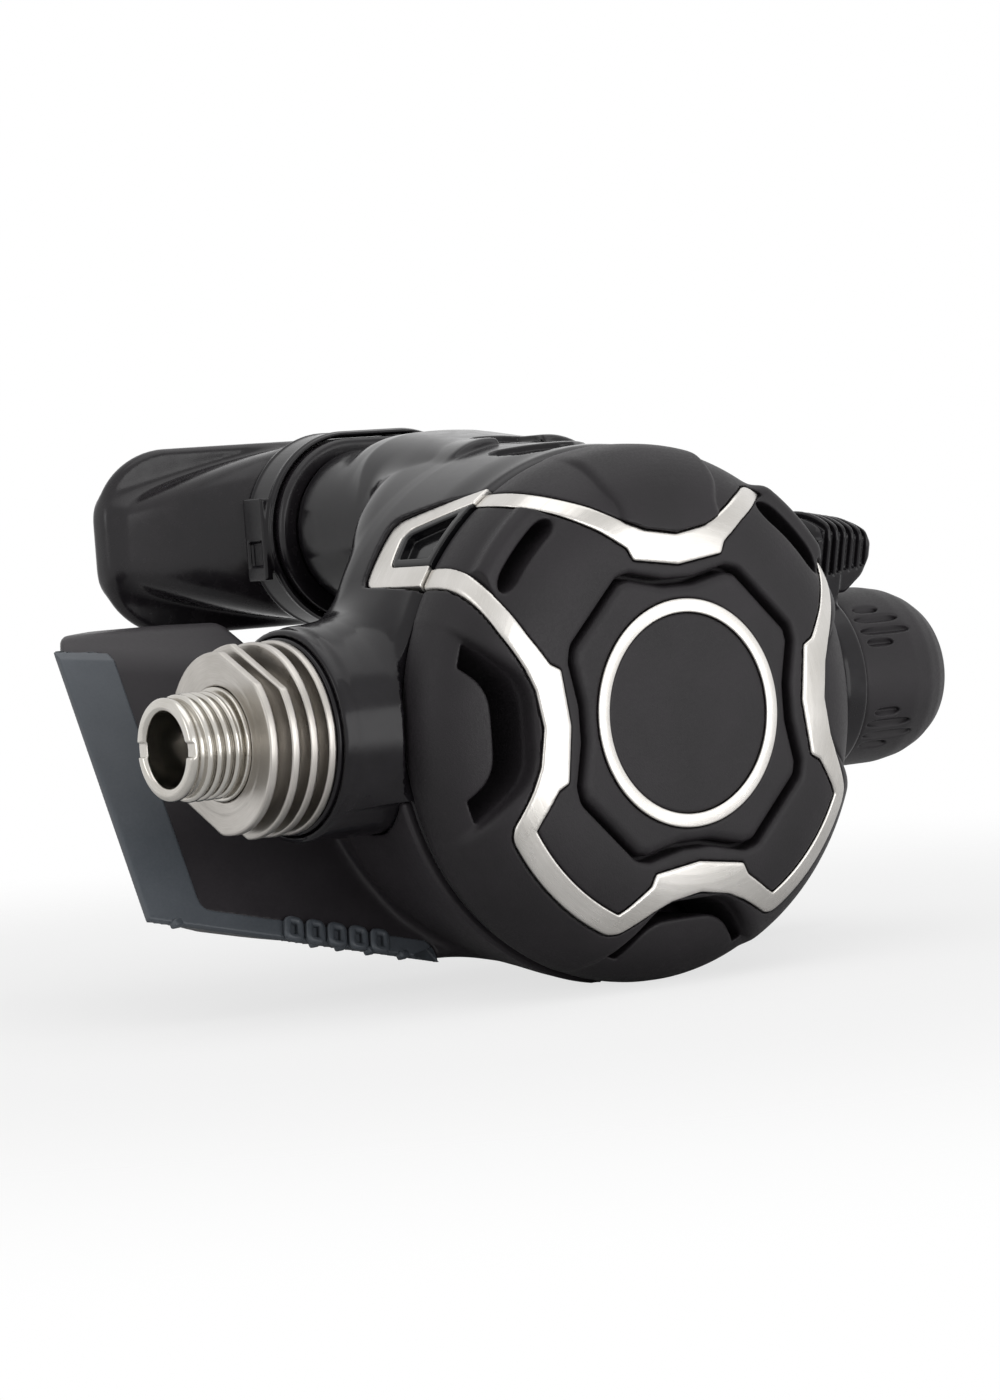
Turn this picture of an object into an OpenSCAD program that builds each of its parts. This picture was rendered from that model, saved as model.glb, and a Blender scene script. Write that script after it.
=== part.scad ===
// Second-stage demand regulator: round front cover with a purge button, finned
// hose inlet, breathing-effort knob, venturi lever, mouthpiece and exhaust tee.
// Every module is drawn about the middle of the cover's joint with the case:
// X runs along the valve barrel towards the knob, -Y out of the cover, Z up.
// placed() then moves it so that the origin is the middle of the hose thread.

/* [Case] */
// Radius of the case and cover where they meet
case_r = 36.2; // [34:0.1:40]
// Radius of the case's raised band behind that joint
case_band_r = 36.8; // [36.5:0.1:42]
// Depth of the round case behind the joint
case_depth = 22; // [20:0.5:26]
// Wall of the case
case_wall = 2.4; // [1.8:0.1:3]
// Height up to which the exhaust tee wraps the case
tee_line = -8.5; // [-10:0.5:-7]
// How far the case's shoulder runs back at the top
shoulder_back = 41; // [36:0.5:44]
// How far the shoulder rises on its way back
shoulder_rise = 3.2; // [1:0.1:5]

/* [Barrel] */
// Distance of the barrel's axis behind the joint
barrel_back = 13; // [12.5:0.1:14]
// Height of the barrel's axis over the cover's axis
barrel_up = 1; // [0:0.5:2]
// Outer radius of the valve barrel
barrel_r = 8.2; // [7.8:0.1:8.6]
// Bore radius of the valve barrel
barrel_bore_r = 6.5; // [6.2:0.1:6.8]
// Radius of the two side bosses
boss_r = 14.2; // [13.4:0.1:15]
// How far the inlet boss's face stands beyond the raised band
boss_left_out = 8.9; // [7:0.1:10]
// How far the knob boss's face stands beyond the raised band
boss_right_out = 3.2; // [2.5:0.1:4]

/* [Inlet] */
// Length of the inlet beyond its boss
inlet_out = 18.9; // [17:0.1:22]
// Outer diameter of the hose thread, 9/16-18
thread_d = 14.288; // [14:0.001:14.6]
// Lead chamfer of the hose thread
thread_lead = 0.6; // [0.3:0.1:1]
// Diameter of the bore that takes the hose's nose
nose_bore_d = 9.9; // [9:0.1:10.4]
// Depth of that bore
nose_depth = 12; // [9:0.5:13]
// Radius of the cooling fins
fin_r = 12.9; // [12:0.1:14]
// How much smaller the outermost fin is
first_fin_less = 0.8; // [0:0.1:1.5]
// Thickness of one fin
fin_t = 1.25; // [0.8:0.05:1.5]
// Distance from fin to fin
fin_pitch = 2.85; // [2.4:0.05:3]
// Number of fins
fin_count = 4; // [3:1:4]
// Number of fins with wrench flats
flat_fins = 2; // [1:1:3]
// Distance across the wrench flats
wrench_flats = 22.4; // [20:0.1:24]
// Turn of the wrench flats about the inlet
flats_turn = 28; // [0:1:60]

/* [Front cover] */
// How far the cover's middle stands out from the joint
cover_front = 15.3; // [14:0.1:17]
// Widest radius of the cover
cover_r = 36.4; // [36.3:0.1:40]
// Radius where the arms begin to fall away
arm_flat_r = 20; // [18:0.5:22]
// How far the bumpers between the arms stand out
bumper_front = 11.9; // [10:0.1:13]
// Distance of the notches' inner edge from the axis
notch_in = 25.1; // [24:0.1:26]
// Half width of a notch's flat inner edge
notch_half = 5.7; // [4:0.1:8]
// Width of the slot round each bumper
slot_w = 2.3; // [1.4:0.1:2.6]
// Width of the slot over the bumper at the top
top_slot_w = 0.6; // [0.4:0.1:1]
// Depth of that slot's floor below the cover's middle
slot_deep = 9; // [7:0.5:10]
// Wall of the cover
cover_wall = 2.2; // [1.8:0.1:2.8]

/* [Metal trim] */
// Width of the trim band along a notch, with the cover's lip
trim_w = 5.2; // [4:0.1:5.6]
// Width of the cover's lip between a notch and the trim
trim_lip = 0.7; // [0.3:0.1:1]
// Outer radius of the trim round an arm's end
trim_end_r = 31.2; // [30:0.1:34]
// Width of the trim round an arm's end
trim_end_w = 2.8; // [2:0.1:3.4]
// Thickness of the metal trim
trim_t = 0.8; // [0.6:0.1:1.2]

/* [Purge button] */
// Distance of the button's hollow sides from the axis
button_waist = 17.2; // [16.5:0.1:17.6]
// Distance of the button's corners from the axis, square to a side
button_side = 18.4; // [17.8:0.1:18.8]
// Gap all round the button
button_gap = 0.8; // [0.4:0.1:0.9]
// Travel of the button
button_travel = 4; // [3:0.5:4.5]
// Outer radius of the metal ring in the button
ring_r = 15.3; // [14:0.1:15.6]
// Width of that ring
ring_w = 1.9; // [1.2:0.1:2.4]
// Wire radius of the purge spring
purge_wire_r = 0.45; // [0.35:0.05:0.55]
// Turns of the purge spring
purge_turns = 4; // [3:1:5]

/* [Diaphragm and lever] */
// Width of the diaphragm's clamped rim
bead_w = 1.8; // [1.6:0.1:2.2]
// Radius of the diaphragm's stiff plate
plate_r = 11.5; // [10:0.5:12]
// Distance of the lever's pin from the cover's axis
lever_pin_x = 15.5; // [14:0.5:17]
// Distance of the lever's pin in front of the barrel's axis
lever_pin_out = 5.6; // [5.4:0.1:5.8]
// Width of the demand lever's arm
lever_w = 5; // [4:0.5:6]
// Thickness of the lever's sheet metal
lever_t = 1; // [0.8:0.1:1.2]

/* [Knob and venturi lever] */
// Radius of the knob at its foot
knob_r = 12.9; // [12:0.1:13.6]
// Length of the knob
knob_len = 19.5; // [18:0.1:24]
// Gap between the venturi lever and the knob
knob_gap = 0.4; // [0.2:0.1:0.8]
// Number of grip notches round the knob
grip_count = 12; // [8:1:16]
// Thickness of the venturi lever's ring
venturi_ring_t = 4.5; // [3.5:0.1:5]
// Radius of the venturi lever's tip
venturi_tip_r = 25; // [22:0.5:27]
// Length of the venturi lever's thumb tab along the barrel
venturi_tab_len = 10.6; // [9:0.1:13]

/* [Mouthpiece] */
// Height of the mouth tube over the cover's axis
mouth_up = 27.7; // [27:0.1:29]
// Distance of the mouth tube's end behind the joint
mouth_back = 60; // [57:0.5:63]
// Radius of the round ends of the mouth tube's bore
mouth_bore_r = 8.6; // [8:0.1:9]
// Distance from the tube's middle to the middle of a round end
mouth_half = 5; // [4:0.5:6]
// Wall of the mouth tube
mouth_wall = 1.8; // [1.4:0.1:2.2]
// Wall of the mouthpiece's sleeve
sleeve_wall = 2.8; // [2:0.1:3.2]
// Width of the clamp
clamp_w = 7.3; // [6:0.1:9]
// Thickness of the clamp
clamp_t = 1; // [0.8:0.1:1.4]
// Distance of the lip flange behind the joint
flange_back = 77; // [75:0.5:83]
// Half width of the lip flange
flange_half = 33; // [30:0.5:35]
// Half height of the lip flange
flange_high = 14; // [12.5:0.1:15]
// Length of the bite tabs
bite_len = 14; // [10:0.5:18]

/* [Exhaust tee] */
// Half width of the exhaust tee
tee_half = 60; // [55:0.5:64]
// Lean of the tee's front
tee_lean = 27; // [22:1:30]
// Distance of the tee's lower front corner behind the joint
tee_back = 27.7; // [26:0.1:30]
// Height of that corner over the raised band's lowest point
tee_rise = 14.8; // [13:0.1:17]
// Height of the tee's front along its lean
tee_high = 39; // [37:0.5:43]
// Height of the tee's top over the cover's axis
tee_top = 16; // [14:0.5:17]
// How far the tee's foot drops towards the middle
tee_dip = 12.8; // [8:0.1:14]
// Depth of the tee's duct
tee_deep = 17; // [14:0.5:18]
// Wall of the tee
tee_wall = 2; // [1.6:0.1:2.4]
// Width of the tee's grey end band
band_w = 8; // [6:0.5:10]
// Height of the grey strip along the tee's foot
strip_h = 2.6; // [2:0.1:3.4]
// Number of grip ribs on that strip, each side
rib_count = 5; // [3:1:7]

/* [Exhaust valve] */
// Radius of the exhaust valve
exhaust_r = 9; // [8:0.5:10]
// Thickness of the exhaust valve's disc
exhaust_t = 0.8; // [0.6:0.1:1]
// Height of the valve's axis over the raised band's lowest point
valve_rise = 16.8; // [16:0.1:18]
// Radius of the valve's stem
stem_r = 1.5; // [1.2:0.1:1.8]

/* [Valve] */
// Distance of the orifice's sharp edge from the cover's axis
orifice_tip = 22; // [20:0.5:23]
// Radius of the poppet's head
poppet_r = 4.4; // [4.2:0.1:4.8]
// Radius of the poppet's stem
stem_rad = 2.2; // [2:0.1:2.4]
// Distance of the end of the poppet's stem from the cover's axis
poppet_reach = 30; // [28:0.5:32]
// Width across the flats of the poppet's guide collar
collar_flats = 9.6; // [9:0.1:10]
// Length of the poppet's guide collar
collar_len = 4; // [3:0.5:5]

/* [Side window] */
// Width of the window's frame at the joint
frame_w = 17.4; // [15:0.1:19]
// Depth of the frame behind the joint
frame_deep = 14.4; // [12:0.1:15]
// Width of the metal beside the window
frame_leg = 3.2; // [2.5:0.1:4]
// Width of the metal behind the window
frame_back = 3.6; // [3:0.1:4.5]

/* [Hidden] */

$fn = 96;
eps = 0.01;         // overlap of joined shapes and of cutting tools
far = 200;          // longer than anything
run_gap = 0.08;     // radial clearance of a running fit
seat_gap = 0.05;    // clearance between seated pieces
rest_gap = 0.3;     // clearance between a moving piece and its seat

thread_r = thread_d / 2;
boss_left = case_band_r + boss_left_out;
boss_right = case_band_r + boss_right_out;
inlet_reach = boss_left + inlet_out;
fin_back = boss_left + 0.5;
fins_len = (fin_count - 1) * fin_pitch + fin_t;
fins_front = fin_back + fins_len;
thread_len = inlet_reach - thread_lead - fins_front;
origin_x = -(inlet_reach - thread_lead - thread_len / 2);

knob_foot = boss_right + rest_gap + venturi_ring_t + knob_gap;
knob_end = knob_foot + knob_len;

module placed() translate([-origin_x, -barrel_back, -barrel_up]) children();

// Turns a profile of [radius, y] points about the cover's axis
module about_y() rotate([-90, 0, 0]) rotate_extrude() children();

// Turns a profile of [radius, x] points about the barrel's axis
module about_x()
    translate([0, barrel_back, barrel_up]) rotate([0, 90, 0]) rotate_extrude() children();

// A solid ring about the barrel's axis from x0 to x1
module sleeve(x0, x1, outer, inner = 0)
    about_x() translate([inner, x0]) square([outer - inner, x1 - x0]);

// Raises an outline drawn in the cover's plane from y0 back to y1
module plate(y0, y1)
    translate([0, y1, 0]) rotate([90, 0, 0]) linear_extrude(y1 - y0) children();

// A long round outline: two round ends joined by straight sides
module oval(r) {
    for (s = [-1, 1]) translate([s * mouth_half, mouth_up]) circle(r);
    translate([-mouth_half, mouth_up - r]) square([2 * mouth_half, 2 * r]);
}

// ---- Front cover, trim and purge button ----

arm_slot_r = 33.2;               // radius of the slots near two arms' ends
rim_high = 2;                    // height of the cover's upright rim
cavity_deep = 1;                 // depth of the hollow behind the cover's floor
floor_t = 1.4;                   // thickness of the cover's floor
notch_flare = 0.98;              // how fast a notch widens towards the rim
trim_flare = 0.9;                // the same for the trim's inner edge
steep_flare = 1.85;              // both, on the two sides that face the window
trim_proud = 0.25;               // how far the trim stands out of the cover
ring_deep = 0.8;                 // depth of the ring's groove in the button
post_r = 3.6;                    // radius of the post behind the button
flange_t = 1.3;                  // thickness of the button's hidden flange
flange_w = 1.2;                  // width of that flange
floor_back = -cavity_deep;
floor_front = floor_back - floor_t;
wall_back = -cover_front + cover_wall;
flange_front = wall_back + rest_gap;
flange_rear = flange_front + flange_t;

function dome_points(front, flat, inset) = concat(
    [[0, -seat_gap], [0, -front + inset]],
    [for (a = [0:7.5:90]) [
        flat + (cover_r - inset - flat) * pow(sin(a), 0.85),
        -rim_high - (front - inset - rim_high) * pow(cos(a), 0.85)
    ]],
    [[case_r - inset, -seat_gap]]);

module dome(front, flat, inset = 0) about_y() polygon(dome_points(front, flat, inset));

// One notch between two arms, opening along +X; trimmed widens it by the trim.
// The notch at the top (q = 1) and the one on the inlet's side (q = 2) open
// wider on the side that faces the window.
module notch(q, trimmed) {
    run = 20;
    d = notch_in - (trimmed ? trim_w : 0);
    step = trimmed ? trim_w - 2.3 : 0;
    h = notch_half + (trimmed ? 1 : 0);
    k = trimmed ? 1.5 : 0;
    flare = trimmed ? trim_flare : notch_flare;
    up = run * (q == 1 ? steep_flare : flare);
    down = run * (q == 2 ? steep_flare : flare);
    polygon([
        [d, -h], [d + step, -h - k], [d + step + run, -h - k - down],
        [d + step + run, h + k + up], [d + step, h + k], [d, h]
    ]);
}

module notches(trimmed = false) for (q = [0:3]) rotate(90 * q) notch(q, trimmed);

// The quarter of the cover's plane that holds the arm on the window's side
module window_quarter() translate([-far, 0]) square(far);
module lever_quarter() square(far);

// The four arms, as wide as the trim's outer edge
module arms() difference() {
    circle(cover_r + 1);
    notches();
}

module trim_band() difference() {
    difference() {
        union() {
            circle(trim_end_r);
            intersection() { circle(cover_r + 1); window_quarter(); }
        }
        offset(delta = trim_lip) notches();
    }
    difference() {
        union() {
            circle(trim_end_r - trim_end_w);
            intersection() { circle(cover_r + 2); window_quarter(); }
            intersection() { circle(cover_r + 2); lever_quarter(); }
        }
        notches(true);
    }
}

// Slots round the bumpers, which let water in to the diaphragm
module bumper_slots() intersection() {
    circle(trim_end_r + slot_w);
    difference() {
        notches();
        for (q = [0:3]) rotate(90 * q) translate([q == 1 ? top_slot_w : slot_w, 0]) notch(q, false);
    }
}

// A curved slot near the end of the arm at angle a, spread to both sides
module arm_slot(a, spread) intersection() {
    difference() {
        circle(arm_slot_r + 1);
        circle(arm_slot_r - 1);
    }
    rotate(a) polygon([
        [0, 0], [far, -far * tan(spread)], [far, far * tan(spread)]
    ]);
}

module button_outline(grow = 0) offset(delta = grow) offset(r = 0.8) offset(delta = -0.8)
    polygon([for (q = [0:3]) for (p = [
        [button_waist, -2.5], [button_waist, 2.5], [button_side, 8.2],
        [button_side - 0.4, 10], [10, button_side - 0.4], [8.2, button_side]
    ]) [
        p[0] * cos(90 * q) - p[1] * sin(90 * q),
        p[0] * sin(90 * q) + p[1] * cos(90 * q)
    ]]);

module floor_windows() difference() {
    circle(button_waist - 1.5);
    circle(post_r + 5);
    for (q = [0:1]) rotate(45 + 90 * q) square([2 * button_waist, 3], center = true);
}

module trim_body(grow) intersection() {
    plate(-cover_front - 2, 0) offset(delta = grow) trim_band();
    difference() {
        dome(cover_front, arm_flat_r, -trim_proud - grow);
        dome(cover_front, arm_flat_r, trim_t - trim_proud + grow);
    }
}

module front_cover() color("#2e2c2e") placed() difference() {
    union() {
        dome(bumper_front, arm_flat_r + 2);
        intersection() {
            dome(cover_front, arm_flat_r);
            plate(-cover_front - 1, 0) arms();
        }
    }
    about_y() translate([0, floor_back]) square([case_r - cover_wall, far]);
    plate(wall_back, floor_front) button_outline(button_gap + flange_w);
    plate(-far, wall_back + eps) button_outline(button_gap);
    plate(-far, 1) circle(post_r + rest_gap);
    plate(floor_front - eps, 1) floor_windows();
    plate(-far, 1) bumper_slots();
    plate(-far, -cover_front + slot_deep) arm_slot(139.5, 8.5);
    plate(-far, -cover_front + slot_deep) arm_slot(46, 10.5);
    trim_body(seat_gap);
}

module cover_trim() color("#cfccc7") placed() difference() {
    trim_body(0);
    about_y() translate([0, -rest_gap]) square([far, far]);
}

module purge_button() color("#343234") placed() {
    difference() {
        union() {
            plate(-cover_front + 0.5, flange_rear) button_outline();
            plate(-cover_front + 0.1, -cover_front + 0.5 + eps) button_outline(-0.6);
            plate(flange_front, flange_rear) button_outline(flange_w - rest_gap);
        }
        plate(-far, -cover_front + ring_deep) difference() {
            circle(ring_r + seat_gap);
            circle(ring_r - ring_w - seat_gap);
        }
        // hollow back, with the spring's seat left round the post
        plate(-cover_front + 2.4, flange_rear + eps) difference() {
            circle(button_waist - 2);
            circle(post_r + 4);
        }
    }
    plate(flange_rear - eps, rest_gap + 0.5) circle(post_r);
}

module purge_ring() color("#cfccc7") placed()
    plate(-cover_front - 0.2, -cover_front + ring_deep - seat_gap) difference() {
        circle(ring_r);
        circle(ring_r - ring_w);
    }

// ---- Springs ----

curl_steps = 24;                 // rings along one turn of a spring
wire_sides = 6;                  // sides of a spring's wire

// Middle of the wire at turn t of a spring along +Z
function coil_point(t, radius, len, turns) =
    [radius * cos(360 * t), radius * sin(360 * t), len * t / turns];

// A closed tube along a helix from z = 0 to z = len
module coil(radius, wire, len, turns) {
    n = turns * curl_steps;
    m = wire_sides;
    points = [for (i = [0:n]) for (s = [0:m - 1])
        let (t = i / curl_steps, c = coil_point(t, radius, len, turns), a = 360 * s / m)
        [
            c[0] + wire * cos(a) * cos(360 * t),
            c[1] + wire * cos(a) * sin(360 * t),
            c[2] + wire * sin(a)
        ]];
    sides = [for (i = [0:n - 1]) for (s = [0:m - 1])
        let (p = i * m + s, q = i * m + (s + 1) % m)
        each [[p, p + m, q], [q, p + m, q + m]]];
    ends = concat(
        [for (s = [1:m - 2]) [0, s, s + 1]],
        [for (s = [1:m - 2]) [n * m, n * m + s + 1, n * m + s]]);
    polyhedron(points, concat(sides, ends));
}

spring_front = flange_rear + rest_gap;
spring_back = floor_front - rest_gap;
purge_coil_r = post_r + 1.9;
purge_coil_len = spring_back - spring_front - 2 * purge_wire_r;
echo(str("purge spring: least gap to itself ",
    purge_coil_len / purge_turns - 2 * purge_wire_r, " mm"));

module purge_spring() color("#b8b8b8") placed()
    translate([0, spring_front + purge_wire_r, 0]) rotate([-90, 0, 0])
        coil(purge_coil_r, purge_wire_r, purge_coil_len, purge_turns);

// ---- Case ----

tee_shell_t = 2.2;               // wall of the tee where it wraps the case
socket_r = case_band_r - tee_shell_t;
shelf_y = 3;                     // depth of the shelf that carries the diaphragm
shelf_in = min(case_r - case_wall, socket_r - 0.8) - 2.6;    // radius behind that shelf
pocket_r = shelf_in + 2.6;       // radius of the pocket in front of it
diaphragm_r = shelf_in + bead_w; // radius of the diaphragm
bore_y0 = 17;                    // where the mouth tube's bore starts
valve_drop = case_band_r - valve_rise;
sleeve_r = barrel_r + 1.1;       // outer radius of the venturi sleeve
neck_r = mouth_bore_r + mouth_wall + 0.8;
tube_r = mouth_bore_r + mouth_wall;
neck_short = 9;                  // how far the neck stops short of the tube's end
tee_front = 1.5;                 // where the tee's shell begins behind the joint
gill_deep = 1;                   // depth of the gills in the case's top
boss_root = 26;                  // where the bosses start along the barrel
sleeve_x0 = 24;                  // where the venturi sleeve starts along the barrel
washer_r = 13.2;                 // radius of the ring behind the fins
washer_seat = 1.2;               // depth of that ring's seat in the boss

module above_tee(up = 0) translate([-far, -far, tee_line + up]) cube([2 * far, 2 * far, far]);

module case_round(r) about_y() polygon([
    [0, 0], [case_r, 0], [case_r, 0.2], [r, 1], [r, case_depth - 5],
    [r - 0.5, case_depth - 2.8], [r - 1.9, case_depth - 0.9], [r - 4.5, case_depth], [0, case_depth]
]);

// The lower half of the case narrows to the back inside the tee's socket
module case_foot(grow) about_y() polygon([
    [0, grow > 0 ? -1 : 0], [case_r + grow, grow > 0 ? -1 : 0], [case_r + grow, tee_front - 0.9],
    [socket_r + grow, tee_front - 0.1], [socket_r - 0.5 + grow, 6], [socket_r - 1.2 + grow, 11],
    [socket_r - 1.8 + grow, 16], [socket_r - 2.4 + grow, 20 + grow],
    [socket_r - 4 + grow, 21.6 + grow], [socket_r - 5.6, case_depth + grow], [0, case_depth + grow]
]);

module swept(inset) hull() {
    plate(2.4, 2.6) circle(case_band_r - inset);
    translate([0, 0, shoulder_rise]) plate(shoulder_back, shoulder_back + 0.2)
        circle(case_band_r - inset);
}

// The round case swept back and up towards the mouth tube
module shoulder() intersection() {
    swept(0);
    translate([-far, 0, 0]) rotate([90, 0, 90]) linear_extrude(2 * far) polygon([
        [0, 10], [case_depth - 2, 15], [case_depth + 0.5, 23], [case_depth + 4.5, 28],
        [shoulder_back - 10, 35], [shoulder_back - 4, 38.5], [shoulder_back, 40],
        [shoulder_back, 60], [0, 60]
    ]);
}

// Two shallow gills on each side of the case's top, as [x, y] outlines
module gills() difference() {
    slab(30, 60) for (s = [-1, 1]) scale([s, 1]) {
        polygon([
            [-8.6, 19.5], [-8, 22.4], [-6.6, 23.6], [-3.2, 22.6], [-2, 18], [-2.2, 11], [-3.4, 5],
            [-4.4, 5.4], [-5.6, 9], [-6.8, 14.5]
        ]);
        polygon([
            [-11.4, 5.6], [-11.2, 8.6], [-10.2, 9.6], [-8.4, 8.6], [-6.4, 6], [-5.8, 3.6],
            [-7, 3], [-9.6, 3.2]
        ]);
    }
    swept(gill_deep);
}

// A boss round the barrel that flares into the case; side is -1 or 1
module boss(side, reach) {
    x0 = boss_root;
    run = reach - x0;
    intersection() {
        union() {
            intersection() {
                about_x() mirror([0, side < 0 ? 1 : 0]) polygon([
                    [0, x0], [boss_r + 6, x0], [boss_r + 3.6, x0 + 0.4 * run],
                    [boss_r + 1.2, x0 + 0.68 * run], [boss_r, x0 + 0.85 * run],
                    [0, x0 + 0.85 * run]
                ]);
                above_tee();
            }
            sleeve(side < 0 ? -reach : x0, side < 0 ? -x0 : reach, boss_r);
        }
        // stays clear of the cover, in front of the joint only outside its rim
        union() {
            about_y() square([far, far]);
            about_y() translate([cover_r + 0.6, -far]) square([far, far]);
        }
    }
}

// The exhaust port: a ring of holes round the valve's stem
module exhaust_port() {
    for (i = [0:5]) rotate(60 * i) translate([exhaust_r * 0.55, 0]) circle(exhaust_r * 0.22);
    circle(stem_r + seat_gap);
}

module case() color("#1b1a1c") placed() difference() {
    union() {
        intersection() { case_round(case_band_r); above_tee(); }
        case_foot(0);
        shoulder();
        plate(bore_y0, mouth_back - neck_short) oval(neck_r);
        plate(mouth_back - neck_short - eps, mouth_back) oval(tube_r);
        boss(-1, boss_left);
        boss(1, boss_right);
        // the case is deeper where the barrel runs through it
        intersection() {
            sleeve(-boss_root - 6, boss_root + 6, sleeve_r + 1.9);
            above_tee();
            about_y() translate([0, case_depth - 6]) square([case_r, far]);
        }
    }
    about_y() translate([0, -1]) square([pocket_r, shelf_y + 1]);
    about_y() square([shelf_in, case_depth - case_wall]);
    plate(bore_y0 - 2, mouth_back + eps) oval(mouth_bore_r);
    sleeve(-far, sleeve_x0 - 0.5, barrel_r + seat_gap);
    sleeve(sleeve_x0 - 0.5 - eps, far, sleeve_r + run_gap);
    sleeve(-far, -boss_left + washer_seat, washer_r + seat_gap);
    translate([0, 0, -valve_drop]) plate(case_depth - case_wall - 1, case_depth + 1) exhaust_port();
    window_seat(seat_gap);
    gills();
}

// ---- Trim frame and window on the case ----

window_turn = 134.5;             // where the window sits round the case
frame_out = case_band_r + 1.1;   // outer radius of the metal frame
frame_in = case_band_r - 0.5;    // its inner radius

// Extrudes an outline of [round the case, y] points outwards at the window
module at_window(r0, r1) rotate([0, 90 - window_turn, 0]) translate([0, 0, r0])
    linear_extrude(r1 - r0) children();

frame_gap = 0.1;                 // gap between the frame and the joint
frame_left = -frame_w / 2;
glass_left = frame_left + frame_leg;
glass_deep = frame_deep - frame_back;

module frame_outline() polygon([
    [frame_left, frame_gap], [frame_left, frame_deep - 1.8], [0.13 * frame_w, frame_deep],
    [frame_w / 2, frame_gap]
]);
module window_outline() polygon([
    [glass_left, frame_gap], [glass_left, glass_deep - 1.8], [0.03 * frame_w, glass_deep],
    [-glass_left, frame_gap]
]);

module band_shell(r0, r1) about_y() translate([r0, 0]) square([r1 - r0, case_depth]);

module window_seat(grow) intersection() {
    at_window(20, 60) offset(delta = grow) frame_outline();
    band_shell(frame_in - grow, far);
    translate([-far, -grow, -far]) cube(2 * far);
}

module case_trim_frame() color("#cfccc7") placed() intersection() {
    at_window(20, 60) difference() { frame_outline(); window_outline(); }
    band_shell(frame_in, frame_out);
}

module side_window() color("#141416") placed() difference() {
    intersection() {
        at_window(20, 60) offset(delta = -seat_gap) window_outline();
        band_shell(frame_in, frame_out - 0.2);
    }
    intersection() {
        at_window(20, 60) offset(delta = -1.8) window_outline();
        band_shell(frame_out - 0.7, far);
    }
}

// ---- Hose inlet ----

core_r = thread_r + 0.4;         // the fitting under the fins
tube_in_r = 4.55;                // outer radius of the orifice tube
shank_front = boss_left - 7.6;   // where the fitting steps down into the barrel
shank_back = 30;                 // where the fitting ends inside the barrel
nose_end = inlet_reach - nose_depth;
rim_slot = 1.2;                  // width of the two slots across the inlet's rim
ring_seat_x = shank_back + 3;    // the inlet O-ring's groove
o_ring_w = 1.7;                  // width of the O-rings

module inlet_fitting() color("#c9c8c4") placed() difference() {
    about_x() polygon([
        [0, -inlet_reach], [thread_r - thread_lead, -inlet_reach],
        [thread_r, -inlet_reach + thread_lead], [thread_r, -fins_front], [core_r, -fins_front],
        [core_r, -fin_back + 0.4], [barrel_r, -fin_back + 0.4], [barrel_r, -shank_front],
        [barrel_bore_r - seat_gap, -shank_front], [barrel_bore_r - seat_gap, -shank_back],
        [0, -shank_back]
    ]);
    sleeve(-far, -nose_end, nose_bore_d / 2);
    sleeve(-nose_end - eps, 0, tube_in_r + seat_gap);
    sleeve(-ring_seat_x - o_ring_w - 0.1, -ring_seat_x, far, barrel_bore_r - 1.1);
    translate([-inlet_reach - 1, -far, barrel_up - rim_slot / 2]) cube([2.4, 2 * far, rim_slot]);
}

module fin(i) difference() {
    x = -fins_front + i * fin_pitch;
    r = fin_r - (i == 0 ? first_fin_less : 0);
    about_x() polygon([
        [core_r + 1, x], [r - 0.3, x], [r, x + 0.3], [r, x + fin_t - 0.3],
        [r - 0.3, x + fin_t], [core_r + 1, x + fin_t]
    ]);
    if (i < flat_fins) for (s = [0, 180])
        translate([x - 1, barrel_back, barrel_up]) rotate([flats_turn + s, 0, 0])
            translate([0, -far, wrench_flats / 2]) cube([fin_t + 2, 2 * far, far]);
}

module heat_exchanger() color("#bdb9b4") placed() difference() {
    union() {
        sleeve(-fins_front, -fin_back, core_r + 1.6);
        for (i = [0:fin_count - 1]) fin(i);
    }
    sleeve(-far, 0, core_r + seat_gap);
    sleeve(-far, -fins_front + 1.2, core_r + 0.5);
}

module boss_ring() color("#161517") placed()
    sleeve(-fin_back + 0.05, -boss_left + washer_seat - seat_gap, washer_r, barrel_r + seat_gap);

module inlet_o_ring() color("#1c1c1c") placed()
    sleeve(-ring_seat_x - o_ring_w, -ring_seat_x - 0.1, barrel_bore_r - 0.02, barrel_bore_r - 1.05);

// ---- Valve barrel and what runs in it ----

bead_y0 = 1;                     // front of the diaphragm's bead
skin_y = 1.2;                    // front of the diaphragm's skin
skin_t = 0.8;                    // thickness of that skin
skin_in = plate_r - 1.6;         // radius of the hole that the plate fills
plate_front = skin_y + skin_t + seat_gap;
plate_back = plate_front + 1;
barrel_x0 = 0.1 - shank_front;   // inlet end of the barrel
barrel_x1 = boss_right + 10;     // knob end of the barrel
orifice_back = 44;               // where the orifice tube starts
seat_t = 2;                      // thickness of the soft seat
seat_lift = 0.4;                 // drawn gap between the seat and the edge
poppet_x0 = -orifice_tip + seat_lift + 1;
collar_x = 4 - orifice_tip;      // where the poppet's guide collar starts
poppet_neck = 14 - orifice_tip;  // where the poppet narrows to its stem
shoulder_x = lever_pin_x + 0.8;  // where the lever's feet pull on the poppet
shoulder_r = stem_rad + 1.6;     // radius of the poppet's shoulder
poppet_x1 = poppet_reach;        // end of the poppet's stem
screw_x0 = barrel_x1 - 16;       // face of the adjuster screw
screw_x1 = barrel_x1 - 2;        // where its drive rod starts
drive_r = 2.5;                   // radius of the drive rod
drive_x1 = barrel_x1 + 6;        // end of the drive rod
insert_x0 = barrel_x1 + 0.8;     // where the knob's insert starts
insert_x1 = barrel_x1 + 11;      // where it ends
insert_r = 8;                    // radius of the insert
barrel_nut_r = 10.9;             // radius of the nut on the barrel's end
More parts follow.
